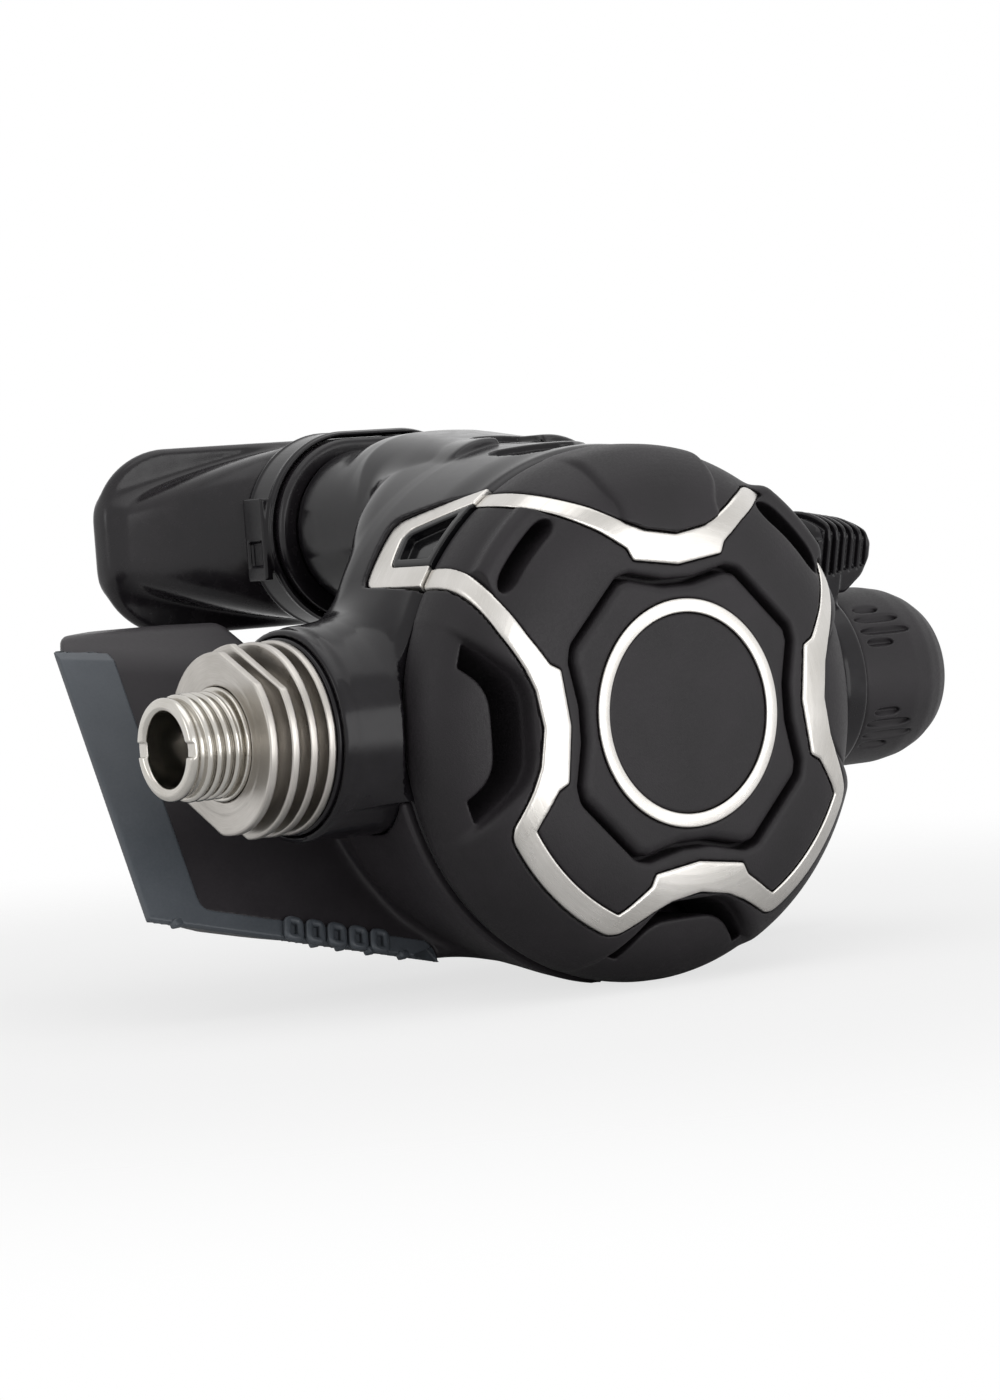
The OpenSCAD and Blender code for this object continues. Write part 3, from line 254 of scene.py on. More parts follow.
class Skin:
    """The surface where a distance field is zero, as a quad mesh."""

    def __init__(self, grid: Grid, values: Array) -> None:
        """Draws the surface with one point in each cell that it crosses.

        Args:
            grid: The points that the field was sampled on.
            values: The distances there.
        """
        self.low, self.step = np.array(grid.low), grid.step
        self.values = np.ascontiguousarray(values, np.float32)
        self.points, self.faces = self._cells()
        for _ in range(3):
            self.points = self._settle(self.points)

    def _cells(self) -> tuple[Array, Array]:
        """Finds the crossed cells and the quads between them.

        Returns:
            The points in millimetres, and the quads as rows of four indices.
        """
        inside = self.values < 0
        n = [k - 1 for k in inside.shape]
        count = np.zeros(n, np.int8)
        offsets = [(a, b, c) for a in (0, 1) for b in (0, 1) for c in (0, 1)]
        for a, b, c in offsets:
            count += inside[a : a + n[0], b : b + n[1], c : c + n[2]]
        mixed = (count > 0) & (count < 8)
        cells = np.argwhere(mixed)
        ids = np.full(n, -1, np.int32)
        ids[mixed] = np.arange(len(cells))
        corner = {
            o: self.values[cells[:, 0] + o[0], cells[:, 1] + o[1], cells[:, 2] + o[2]]
            for o in offsets
        }
        total, hits = np.zeros((len(cells), 3)), np.zeros(len(cells))
        for o in offsets:
            for axis in range(3):
                if o[axis]:
                    continue
                p = tuple(1 if k == axis else o[k] for k in range(3))
                va, vb = corner[o], corner[p]
                hit = (va < 0) != (vb < 0)
                t = np.where(hit, va / np.where(va == vb, 1, va - vb), 0)
                place = np.array(o, float)[None, :] + t[:, None] * np.eye(3)[axis]
                total += place * hit[:, None]
                hits += hit
        points = cells + total / hits[:, None]
        quads = []
        for axis in range(3):
            u, v = (axis + 1) % 3, (axis + 2) % 3
            first = [slice(None)] * 3
            first[axis], first[u], first[v] = slice(0, -1), slice(1, -1), slice(1, -1)
            second = list(first)
            second[axis] = slice(1, None)
            start = inside[tuple(first)]
            change = start != inside[tuple(second)]
            edge = np.argwhere(change)
            out = start[change]
            edge[:, u] += 1
            edge[:, v] += 1
            du, dv = np.eye(3, dtype=int)[u], np.eye(3, dtype=int)[v]
            ring = [ids[tuple((edge - s).T)] for s in (du + dv, dv, 0 * du, du)]
            quad = np.stack(ring, 1)
            quad[~out] = quad[~out][:, ::-1]
            quads.append(quad)
        return self.low + points * self.step, np.concatenate(quads)

    def at(self, points: Array) -> Array:
        """The field at any points, between its samples."""
        q = (points - self.low) / self.step
        top = np.array(self.values.shape) - 1.001
        q = np.clip(q, 0, top)
        i = q.astype(np.int32)
        f = (q - i).astype(np.float32)
        out = np.zeros(len(points), np.float32)
        for a in (0, 1):
            for b in (0, 1):
                for c in (0, 1):
                    w = (
                        np.abs(1 - a - f[:, 0]) * np.abs(1 - b - f[:, 1]) * np.abs(1 - c - f[:, 2])
                    )
                    out += w * self.values[i[:, 0] + a, i[:, 1] + b, i[:, 2] + c]
        return out

    def slope(self, points: Array, reach: float) -> Array:
        """The field's gradient at points, taken over reach grid steps."""
        h = self.step * reach
        return np.stack(
            [(self.at(points + e * h) - self.at(points - e * h)) / (2 * h) for e in np.eye(3)], 1
        )

    def _settle(self, points: Array) -> Array:
        """Moves points onto the surface along the field's slope."""
        g = self.slope(points, 0.5)
        far = self.at(points)[:, None] * g / np.maximum((g**2).sum(1), 0.05)[:, None]
        return points - np.clip(far, -0.6 * self.step, 0.6 * self.step)

    def mesh(self, name: str, limit: int = 150_000) -> bpy.types.Object:
        """Makes the skin's object.

        Args:
            name: The piece's name.
            limit: The most triangles it may have.

        Returns:
            The object, smooth, with the field's own normals.
        """
        obj = add_mesh(name, self.points, self.faces.tolist())
        triangles = 2 * len(self.faces)
        if triangles > limit:
            thin = obj.modifiers.new("thin", "DECIMATE")
            thin.ratio = limit / triangles
            bake_modifiers(obj)
        obj.data.polygons.foreach_set("use_smooth", [True] * len(obj.data.polygons))
        co = read_points(obj)
        g = self.slope(co, 0.75)
        g /= np.maximum(np.linalg.norm(g, axis=1), 1e-6)[:, None]
        obj.data.normals_split_custom_set_from_vertices(g.tolist())
        return obj


def link_object(name: str, data: bpy.types.ID | None) -> bpy.types.Object:
    """Puts an object with the given data into the scene."""
    obj = bpy.data.objects.new(name, data)
    bpy.context.scene.collection.objects.link(obj)
    return obj


def add_mesh(name: str, points: Array, faces: Sequence[Sequence[int]]) -> bpy.types.Object:
    """Makes an object from points about the cover's joint.

    Args:
        name: The piece's name.
        points: Its points, in millimetres.
        faces: Its faces as rows of indices.

    Returns:
        The object, with its place in its mesh, in metres.
    """
    data = bpy.data.meshes.new(name)
    placed = (np.asarray(points, float) + np.array(SHIFT)) * MM
    data.from_pydata(placed.tolist(), [], faces)
    data.update()
    return link_object(name, data)


def read_points(obj: bpy.types.Object) -> Array:
    """A mesh's points, in millimetres about the cover's joint."""
    co = np.zeros(len(obj.data.vertices) * 3)
    obj.data.vertices.foreach_get("co", co)
    return co.reshape(-1, 3) / MM - np.array(SHIFT)


def bake_modifiers(obj: bpy.types.Object) -> None:
    """Turns an object's modifiers into its mesh and removes them."""
    graph = bpy.context.evaluated_depsgraph_get()
    made = bpy.data.meshes.new_from_object(obj.evaluated_get(graph))
    obj.modifiers.clear()
    old = obj.data
    made.name = old.name
    obj.data = made
    bpy.data.meshes.remove(old)


def lathe(name: str, points: Sequence[Point2], axis: str, sides: int = 96) -> bpy.types.Object:
    """Turns a closed outline about the cover's or the barrel's axis.

    Args:
        name: The piece's name.
        points: The outline as (radius, place along the axis).
        axis: "y" for the cover's axis and "x" for the barrel's.
        sides: The number of steps round.

    Returns:
        The turned object, smooth where its outline is.
    """
    pts = np.array(points)
    turn = np.linspace(0, 2 * math.pi, sides, endpoint=False)
    c, s = np.cos(turn)[:, None], np.sin(turn)[:, None]
    r, a = pts[:, 0][None, :], pts[:, 1][None, :]
    if axis == "y":
        co = np.stack([r * c, a + 0 * c, r * s], -1)
    else:
        co = np.stack([a + 0 * c, BARREL_Y + r * c, BARREL_Z + r * s], -1)
    n = len(pts)
    faces = [
        (i * n + j, i * n + (j + 1) % n, (i + 1) % sides * n + (j + 1) % n, (i + 1) % sides * n + j)
        for i in range(sides)
        for j in range(n)
    ]
    obj = add_mesh(name, co.reshape(-1, 3), faces)
    face_outwards(obj)
    smooth_by_angle(obj, 35)
    return obj


def face_outwards(obj: bpy.types.Object) -> None:
    """Merges doubled points and turns every face of a closed mesh outwards."""
    bm = bmesh.new()
    bm.from_mesh(obj.data)
    bmesh.ops.remove_doubles(bm, verts=bm.verts, dist=2e-6)
    bmesh.ops.recalc_face_normals(bm, faces=bm.faces)
    bm.to_mesh(obj.data)
    bm.free()


def smooth_by_angle(obj: bpy.types.Object, degrees: float) -> None:
    """Shades a mesh smooth, apart from edges sharper than the angle."""
    obj.data.polygons.foreach_set("use_smooth", [True] * len(obj.data.polygons))
    obj.data.set_sharp_from_angle(angle=math.radians(degrees))


# ---- Coordinates that several pieces share ----

TEE_LEAN = math.radians(27)
TEE_BACK, TEE_DROP = 27.7, 22.0
WINDOW_TURN = math.radians(134.5)


def leaned(grid: Grid) -> tuple[Array, Array]:
    """Depth behind and height up the tee's leaning front, from its lower corner."""
    dy, dz = grid.y - TEE_BACK, grid.z + TEE_DROP
    c, s = math.cos(TEE_LEAN), math.sin(TEE_LEAN)
    return dy * c - dz * s, dy * s + dz * c


def at_window(grid: Grid) -> tuple[Array, Array]:
    """Distances round the case from the window's middle, and out from the axis."""
    c, s = math.cos(WINDOW_TURN), math.sin(WINDOW_TURN)
    return grid.x * s - grid.z * c, grid.x * c + grid.z * s


def oval(grid: Grid, radius: float, half: float = 5.0) -> Array:
    """Distance to the mouth tube's long round outline."""
    return np.sqrt(np.maximum(np.abs(grid.x) - half, 0) ** 2 + (grid.z - MOUTH_Z) ** 2) - radius


def turn_points(points: Sequence[Sequence[float]], quarter: int) -> list[Point2]:
    """Turns an outline by quarter turns."""
    out = [(float(p[0]), float(p[1])) for p in points]
    for _ in range(quarter):
        out = [(-v, u) for u, v in out]
    return out


@dataclass(frozen=True)
class Dome:
    """The cover's domed front.

    Args:
        front: How far it stands in front of the joint.
        flat: Radius of its flat middle.
        rim: Radius of its rim.
    """

    front: float
    flat: float
    rim: float = 36.4

    def outline(self, foot: float = -0.05) -> list[Point2]:
        """The dome's half outline as (radius, place along the axis)."""
        out: list[Point2] = [(0.0, foot), (0.0, -self.front)]
        for a in np.radians(np.linspace(0, 90, 25)):
            r = self.flat + (self.rim - self.flat) * math.sin(a) ** 0.85
            out.append((r, -2 - (self.front - 2) * max(math.cos(a), 0) ** 0.85))
        return rounded([*out[:-1], (self.rim, -1.6), (self.rim - 0.25, foot, 0.7)], 0.05)

    def field(self, grid: Grid, foot: float = -0.05) -> Array:
        """Distance to the dome, with its rim carried on to foot."""
        return Turned(self.outline(foot))(grid.rho, grid.y)


class Edge(Enum):
    """The three outlines that each notch between the cover's arms has.

    Each is half an outline, as (distance from the axis, distance from the
    notch's middle, corner radius).
    """

    BUMPER = ((25.1, 0.0, 0.1), (25.1, 5.7, 6.5), (45.1, 25.3, 0.1))
    TRIM_OUTSIDE = (
        (24.0, 0.0, 2.0), (24.8, 5.0, 2.0), (25.9, 7.8, 2.0), (28.3, 12.5, 12.0),
        (30.6, 18.4, 12.0), (36.5, 33.5, 0.1),
    )
    TRIM_INSIDE = (
        (19.8, 0.0, 1.5), (20.8, 7.5, 0.5), (22.4, 8.3, 0.7), (25.0, 12.2, 12.0),
        (27.6, 17.2, 12.0), (29.2, 21.5, 12.0), (34.8, 36.5, 0.1),
    )


# the notches by quarter turns from the knob's side, with their bumpers' water slots
RIGHT, TOP, LEFT, BOTTOM = range(4)
SLOT_WIDTHS = {RIGHT: 2.3, LEFT: 4.2, BOTTOM: 2.4}

ARM_DOME = Dome(15.3, 20.0)
BUMPER_DOME = Dome(11.9, 22.0)


def notch_outline(edge: Edge, quarter: int) -> list[Point2]:
    """One notch's outline, turned into place."""
    half = [tuple(p) for p in edge.value]
    below = [(r, -t, c) for r, t, c in reversed(half) if t]
    return turn_points(rounded(below + half, 1.0), quarter)


def notch_field(grid: Grid, edge: Edge, quarters: Sequence[int] = range(4)) -> Array:
    """Distance to the notches, in the cover's plane."""
    return nearest(outline(grid.x, grid.z, notch_outline(edge, q)) for q in quarters)


def trim_field(grid: Grid) -> Array:
    """Distance to the trim's band, in the cover's plane.

    It follows every notch. It runs out to the window's frame, stops short of
    the rim on the lever's side, and rounds the ends of the two lower arms.
    """
    above = grid.z > 0
    reach = np.where(above, np.where(grid.x < 0, 37.6, 34.0), 31.7)
    outer = common(-notch_field(grid, Edge.TRIM_OUTSIDE), grid.rho - reach, 1.3)
    inner = np.minimum(grid.rho - 28.8, -grid.z)
    inner = np.maximum(inner, -notch_field(grid, Edge.TRIM_INSIDE))
    return cut(outer, inner)


class Part:
    """A group of pieces that are built together."""

    def __init__(self, finishes: "Finishes") -> None:
        """Keeps the finishes that the pieces wear."""
        self.finishes = finishes


class Cover(Part):
    """The domed front cover: its shell, trim band, button and ring."""

    def button_outline(self, grid: Grid, grow: float = 0.0) -> Array:
        """Distance to the button's outline, in the cover's plane."""
        corners: list[Point3] = []
        for q in range(4):
            quarter = [
                (17.2, -2.5, 6.0), (17.2, 2.5, 6.0), (18.4, 8.2, 1.6),
                (18.0, 10.0, 1.6), (10.0, 18.0, 1.6), (8.2, 18.4, 1.6),
            ]
            turned = turn_points(quarter, q)
            corners += [(p[0], p[1], c[2]) for p, c in zip(turned, quarter)]
        return outline(grid.x, grid.z, rounded(corners, 1.6)) - grow

    def water_slot(self, grid: Grid, quarter: int, width: float) -> Array:
        """Distance to the slot between a bumper and the arms beside it."""
        edge = notch_outline(Edge.BUMPER, quarter)
        du, dv = turn_points([(width, 0.0)], quarter)[0]
        pushed = [(u + du, v + dv) for u, v in edge]
        slot = np.maximum(outline(grid.x, grid.z, edge), -outline(grid.x, grid.z, pushed))
        return np.maximum(slot, grid.rho - 33.5)

    def shell(self) -> bpy.types.Object:
        """Builds the matte shell with its arms, bumpers and water slots."""
        grid = Grid((-37.4, -16.0, -37.4), (37.4, 0.6, 37.4), 0.26)
        rho = grid.rho
        dome = ARM_DOME.field(grid)
        arms = np.maximum(rho - 37.4, -notch_field(grid, Edge.BUMPER, tuple(SLOT_WIDTHS)))
        body = join(common(dome, arms, 1.6), BUMPER_DOME.field(grid), 0.5)
        slots = nearest(self.water_slot(grid, q, width) for q, width in SLOT_WIDTHS.items())
        body = cut(body, slots + 0.05, 0.7)
        # the top bumper is level with the arms and has a low pad with creased sides
        half = [(10.0, 23.5, 2.0), (8.2, 27.4, 2.5), (10.0, 30.6, 6.0), (11.4, 39.0, 0.1)]
        pad = rounded(half + [(-u, v, c) for u, v, c in reversed(half)], 1.0)
        pad = common(dome - 0.75, outline(grid.x, grid.z, pad), 1.6)
        pad = common(pad, rho - 36.5, 1.0)
        body = join(body, pad, 0.25)
        for angle, middle, wide in ((134.8, 32.3, 1.05), (45.0, 32.0, 1.35)):
            a = math.radians(angle)
            along = np.abs(grid.z * math.cos(a) - grid.x * math.sin(a))
            side = -(grid.x * math.cos(a) + grid.z * math.sin(a))
            # the arm's rim stands proud as a lip behind the slot
            lip = np.sqrt((rho - 34.5) ** 2 + (grid.y + 9.6) ** 2) - 1.45
            lip = common(np.maximum(lip, side), along - 7.4, 2.0)
            body = join(body, lip, 1.6)
            end = np.maximum(along - 3.6, 0)
            slot = np.sqrt((rho - middle) ** 2 + (0.4 * end) ** 2) - wide
            slot = np.maximum(slot, np.maximum(grid.y + 4.5, side))
            body = cut(body, slot, 0.4)
        body = cut(body, np.maximum(rho - 33.8, -1.0 - grid.y))
        opening = np.maximum(self.button_outline(grid, 0.8), grid.y - 3)
        body = cut(body, opening, 1.0)
        seat = np.maximum(trim_field(grid) - 0.14, -(ARM_DOME.field(grid, 1.4) + 0.66))
        body = cut(body, seat)
        skin = Skin(grid, body).mesh("cover_shell", 196_000)
        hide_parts("front_cover")
        return self.finishes.dress(skin, "cover_plastic", Body.HOUSING)

    def trim(self) -> bpy.types.Object:
        """Builds the brushed band along the arms' edges."""
        grid = Grid((-37.2, -15.9, -37.2), (37.2, 0.4, 37.2), 0.22)
        dome = ARM_DOME.field(grid, 1.4)
        layer = between(dome, -0.55, 0.25)
        body = common(layer, trim_field(grid), 0.4)
        body = np.maximum(body, grid.y + 0.14)
        skin = Skin(grid, body).mesh("cover_trim_band", 190_000)
        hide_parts("cover_trim")
        return self.finishes.dress(skin, "trim_steel", Body.HOUSING)

    def button(self) -> bpy.types.Object:
        """Builds the purge button with its groove for the ring."""
        grid = Grid((-20.2, -15.8, -20.2), (20.2, 1.2, 20.2), 0.25)
        rho = grid.rho
        plan = self.button_outline(grid)
        body = common(plan, between(grid.y, -15.2, -8.4), 1.6)
        skirt = np.maximum(plan - 0.9, between(grid.y, -11.9, -10.6))
        body = join(body, skirt, 0.3)
        hollow = np.maximum(np.maximum(rho - 15.2, 7.6 - rho), -12.9 - grid.y)
        body = cut(body, hollow, 0.4)
        groove = np.maximum(np.abs(rho - 14.35) - 1.0, grid.y + 14.5)
        body = cut(body, groove, 0.25)
        post = common(rho - 3.6, between(grid.y, -13.5, 0.8), 0.8)
        body = join(body, post, 0.6)
        skin = Skin(grid, body).mesh("button_cap", 190_000)
        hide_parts("purge_button")
        return self.finishes.dress(skin, "cover_plastic", Body.PURGE)

    def ring(self) -> bpy.types.Object:
        """Turns the steel ring that is let into the button."""
        profile = rounded(
            [(13.42, -14.58), (13.42, -15.5, 0.22), (15.28, -15.5, 0.22), (15.28, -14.58)], 0.05
        )
        obj = lathe("button_ring", profile, "y", 160)
        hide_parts("purge_ring")
        return self.finishes.dress(obj, "trim_steel", Body.PURGE)

    def build(self) -> list[bpy.types.Object]:
        """Builds every piece of the cover."""
        return [self.shell(), self.trim(), self.button(), self.ring()]


@dataclass(frozen=True)
class CaseSizes:
    """The case's main sizes, in millimetres."""

    rim: float = 36.2
    band: float = 36.8
    tee_line: float = -8.5
    shoulder_rise: float = 3.2
    shoulder_back: float = 41.0
    boss: float = 14.2
    boss_left: float = 45.7
    boss_right: float = 40.0
    root: float = 26.0


class Case(Part):
    """The glossy case with its window and the steel frame round it."""

    sizes = CaseSizes()

    def swept(self, grid: Grid) -> Array:
        """Distance to the round case swept back and up."""
        s = self.sizes
        rise = s.shoulder_rise * np.clip((grid.y - 2.5) / (s.shoulder_back - 2.5), 0, 1.1)
        return np.sqrt(grid.x**2 + (grid.z - rise) ** 2) - s.band

    def bosses(self, grid: Grid) -> tuple[Array, Array]:
        """Distances to the flares round the barrel and to the plain bosses."""
        s = self.sizes
        flares: list[Array] = []
        plain: list[Array] = []
        for side, reach in ((-1, s.boss_left), (1, s.boss_right)):
            run = reach - s.root
            flare = [(0.0, s.root - 4), (s.boss + 7, s.root - 4), (s.boss + 5.6, s.root)]
            for t in (0.15, 0.3, 0.45, 0.6, 0.75, 0.87):
                flare.append((s.boss + 5.6 * (1 - t / 0.87) ** 1.7, s.root + t * run))
            flare.append((0.0, s.root + 0.87 * run))
            along = side * grid.x
            flares.append(Turned(flare)(grid.bar, along))
            plain.append(common(grid.bar - s.boss, between(along, s.root - 6, reach), 0.8))
        return nearest(flares), nearest(plain)

    def body(self) -> bpy.types.Object:
        """Builds the case."""
        s = self.sizes
        grid = Grid((-46.6, -15.0, -38.0), (41.0, 60.9, 42.6), 0.36)
        back = [
            (0.0, 0.0), (s.rim - 0.1, 0.0, 0.9), (s.band, 1.5, 1.2), (s.band, 22.0, 5.5),
            (0.0, 22.0),
        ]
        above = s.tee_line - grid.z
        round_body = Turned(rounded(back, 0.2))(grid.rho, grid.y)
        foot = [
            (0.0, 0.0), (36.1, 0.0, 0.5), (36.1, 0.8, 0.4), (34.6, 1.4), (34.1, 6.0), (33.4, 11.0),
            (32.8, 16.0), (32.2, 20.0), (30.6, 21.6), (29.0, 22.0), (0.0, 22.0),
        ]
        lower = Turned(rounded(foot, 0.3))(grid.rho, grid.y)
        side = rounded(
            [(2.4, 10, 0.1), (20, 15), (22.5, 23), (26.5, 28), (31, 35), (37, 38.5), (41, 40.3),
             (41, 60, 0.1), (2.4, 60, 0.1)], 5.0,
        )
        shoulder = common(self.swept(grid), outline(grid.y, grid.z, side), 6.0)
        shoulder = np.maximum(shoulder, 2.6 - grid.y)
        body = join(round_body, shoulder, 2.0)
        neck = common(oval(grid, 11.2), between(grid.y, 17, 51), 1.5)
        body = join(body, neck, 0.4 + 6.1 * np.clip((grid.y - 22) / 14, 0, 1))
        hump = np.maximum(grid.bar - 11.2, np.maximum(np.abs(grid.x) - 32, 16 - grid.y))
        hump = np.maximum(hump, grid.rho - 36.2)
        body = join(body, hump, 4.0)
        flares, plain = self.bosses(grid)
        body = join(body, flares, 2.4)
        body = np.minimum(np.maximum(body, above), lower)
        body = join(body, plain, 1.2)
        body = np.maximum(body, np.minimum(0.02 - grid.y, 37.0 - grid.rho))
        tube = common(oval(grid, 10.4), between(grid.y, 40, 60.0), 0.8)
        body = join(body, tube, 0.8)
        body = self.gills(grid, body)
        body = cut(body, np.maximum(grid.rho - 33.8, grid.y - 3))
        body = cut(body, np.maximum(grid.rho - 31.2, grid.y - 19.6))
        body = cut(body, np.maximum(oval(grid, 8.6), 15 - grid.y), 0.8)
        body = cut(body, np.maximum(grid.bar - 8.3, grid.x - 23.5))
        body = cut(body, np.maximum(grid.bar - 9.42, 23.5 - grid.x))
        body = cut(body, np.maximum(grid.bar - 13.3, grid.x + s.boss_left - 1.2))
        u, w = at_window(grid)
        seat = np.maximum(outline(u, grid.y, FRAME_LONG) - 0.14, np.maximum(34.8 - grid.rho, -w))
        body = cut(body, seat)
        skin = Skin(grid, body).mesh("case_body", 196_000)
        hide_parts("case")
        return self.finishes.dress(skin, "case_plastic", Body.HOUSING)

    def gills(self, grid: Grid, body: Array) -> Array:
        """Sinks the two shallow gills into the case's top."""
        # a long drop that points forwards, and a wide chevron in front of it
        drop = [
            (1.0, 9.0), (-1.0, 9.0), (-3.2, 13.5), (-4.2, 19.0), (-3.9, 23.4), (-2.4, 25.0),
            (1.0, 25.4),
        ]
        wing = [
            (1.0, 3.4), (-6.6, 3.5), (-9.4, 5.6), (-10.2, 9.0), (-9.5, 12.2), (-8.2, 12.6),
            (-6.4, 11.0), (-3.6, 8.6), (-1.2, 7.0), (1.0, 6.6),
        ]
        u = -np.abs(grid.x)
        plan = np.minimum(
            outline(u, grid.y, rounded(drop, 0.8)), outline(u, grid.y, rounded(wing, 0.8))
        )
        sunk = np.maximum(plan, np.maximum(-(body + 0.9), 20 - grid.z))
        return cut(body, sunk, 0.25)

    def frame(self) -> bpy.types.Object:
        """Builds the steel frame round the window."""
        grid = Grid((-40.0, -0.4, 10.0), (-10.0, 15.2, 38.0), 0.2)
        u, w = at_window(grid)
        body = np.maximum(outline(u, grid.y, FRAME_LONG), -outline(u, grid.y, GLASS_LONG))
        body = common(body, between(grid.rho, 35.6, 37.1), 0.35)
        body = np.maximum(np.maximum(body, -w), 0.1 - grid.y)
        skin = Skin(grid, body).mesh("window_frame", 90_000)
        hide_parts("case_trim_frame")
        return self.finishes.dress(skin, "trim_steel", Body.HOUSING)

    def window(self) -> bpy.types.Object:
        """Builds the dark window, sunk inside its raised edge."""
        grid = Grid((-40.0, -0.4, 10.0), (-10.0, 12.4, 38.0), 0.2)
        u, w = at_window(grid)
        plan = outline(u, grid.y, GLASS_LONG)
        body = common(plan + 0.06, between(grid.rho, 34.9, 37.0), 0.4)
        inner = outline(u, grid.y, GLASS_OUTLINE)
        body = cut(body, np.maximum(inner + 1.35, 35.6 - grid.rho), 0.3)
        body = np.maximum(np.maximum(body, -w), 0.1 - grid.y)
        skin = Skin(grid, body).mesh("window_glass", 60_000)
        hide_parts("side_window")
        return self.finishes.dress(skin, "window_plastic", Body.HOUSING)

    def build(self) -> list[bpy.types.Object]:
        """Builds every piece of the case."""
        return [self.body(), self.frame(), self.window()]


# the window's outline, and then it and the frame's carried on in front of the joint
GLASS_OUTLINE = rounded(
    [(-5.5, 0.1, 0.6), (-5.5, 9.0, 1.2), (0.5, 10.8, 2.0), (5.5, 0.1, 0.6)], 1.0
)
FRAME_LONG = rounded(
    [(-8.7, -2.0, 0.1), (-8.7, 12.6, 1.6), (2.26, 14.4, 2.4), (9.6, -1.9, 0.1)], 1.0
)
GLASS_LONG = rounded(
    [(-5.5, -2.0, 0.1), (-5.5, 9.0, 1.2), (0.5, 10.8, 2.0), (6.48, -2.0, 0.1)], 1.0
)


class Inlet(Part):
    """The hose inlet: threaded stub, finned heat exchanger and washer."""

    FINS, FIN_START, FIN_PITCH, FIN_HALF = 4, -56.0, 2.85, 0.625
    FIRST_FIN, FIN_RADIUS = 12.1, 12.9

    def stub(self) -> bpy.types.Object:
        """Builds the stub with its open nose and rim slots; its thread is wound apart."""
        grid = Grid((-65.2, 3.4, -8.6), (-42.0, 22.6, 10.6), 0.2)
        along = grid.x
        core = common(grid.bar - 6.42, between(along, -64.6, -44.0), 0.9)
        lip = common(grid.bar - 6.8, between(along, -64.58, -63.2), 0.7)
        core = join(core, lip, 0.3)
        foot = np.maximum(grid.bar - 7.54, between(along, -56.6, -45.8))
        body = join(core, foot, 0.5)
        body = cut(body, np.maximum(grid.bar - 4.95, along + 52.6), 0.9)
        body = cut(body, grid.bar - 4.6)
        slot = np.maximum(np.abs(grid.z - BARREL_Z) - 0.95, along + 64.12)
        body = cut(body, slot, 0.06)
        skin = Skin(grid, body).mesh("inlet_stub", 90_000)
        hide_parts("inlet_fitting")
        return self.finishes.dress(skin, "nickel_bright", Body.HOUSING)

    def thread(self) -> bpy.types.Object:
        """Winds the thread's crest round the stub."""
        obj = wind(
            "inlet_thread",
            Helix(radius=6.62, pitch=1.411, turns=4.1, start=-62.5, flank=0.52),
            self.finishes.material("nickel_bright"),
        )
        return self.finishes.dress(obj, "nickel_bright", Body.HOUSING)

    def fins(self) -> bpy.types.Object:
        """Builds the fins and the two flats for a wrench."""
        grid = Grid((-56.5, -0.6, -12.6), (-45.9, 26.6, 14.6), 0.2)
        body = np.maximum(grid.bar - 9.1, between(grid.x, -55.95, -46.25))
        turn = math.radians(28)
        lift = -(grid.y - BARREL_Y) * math.sin(turn) + (grid.z - BARREL_Z) * math.cos(turn)
        for i in range(self.FINS):
            middle = self.FIN_START + i * self.FIN_PITCH + self.FIN_HALF
            radius = self.FIRST_FIN if i == 0 else self.FIN_RADIUS
            one = common(grid.bar - radius, np.abs(grid.x - middle) - self.FIN_HALF, 0.3)
            if i < 2:
                one = common(one, np.abs(lift) - 11.2, 0.15)
            body = join(body, one, 0.3)
        body = cut(body, grid.bar - 7.6)
        skin = Skin(grid, body).mesh("inlet_fins", 190_000)
        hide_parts("heat_exchanger")
        return self.finishes.dress(skin, "nickel_satin", Body.HOUSING)

    def washer(self) -> bpy.types.Object:
        """Turns the ring between the fins and the boss."""
        profile = rounded(
            [(8.3, -44.56), (8.3, -46.12), (13.15, -46.12, 0.4), (13.15, -44.56)], 0.1
        )
        obj = lathe("inlet_washer", profile, "x", 96)
        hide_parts("boss_ring")
        return self.finishes.dress(obj, "case_plastic", Body.HOUSING)

    def build(self) -> list[bpy.types.Object]:
        """Builds every piece of the inlet."""
        return [self.stub(), self.thread(), self.fins(), self.washer()]


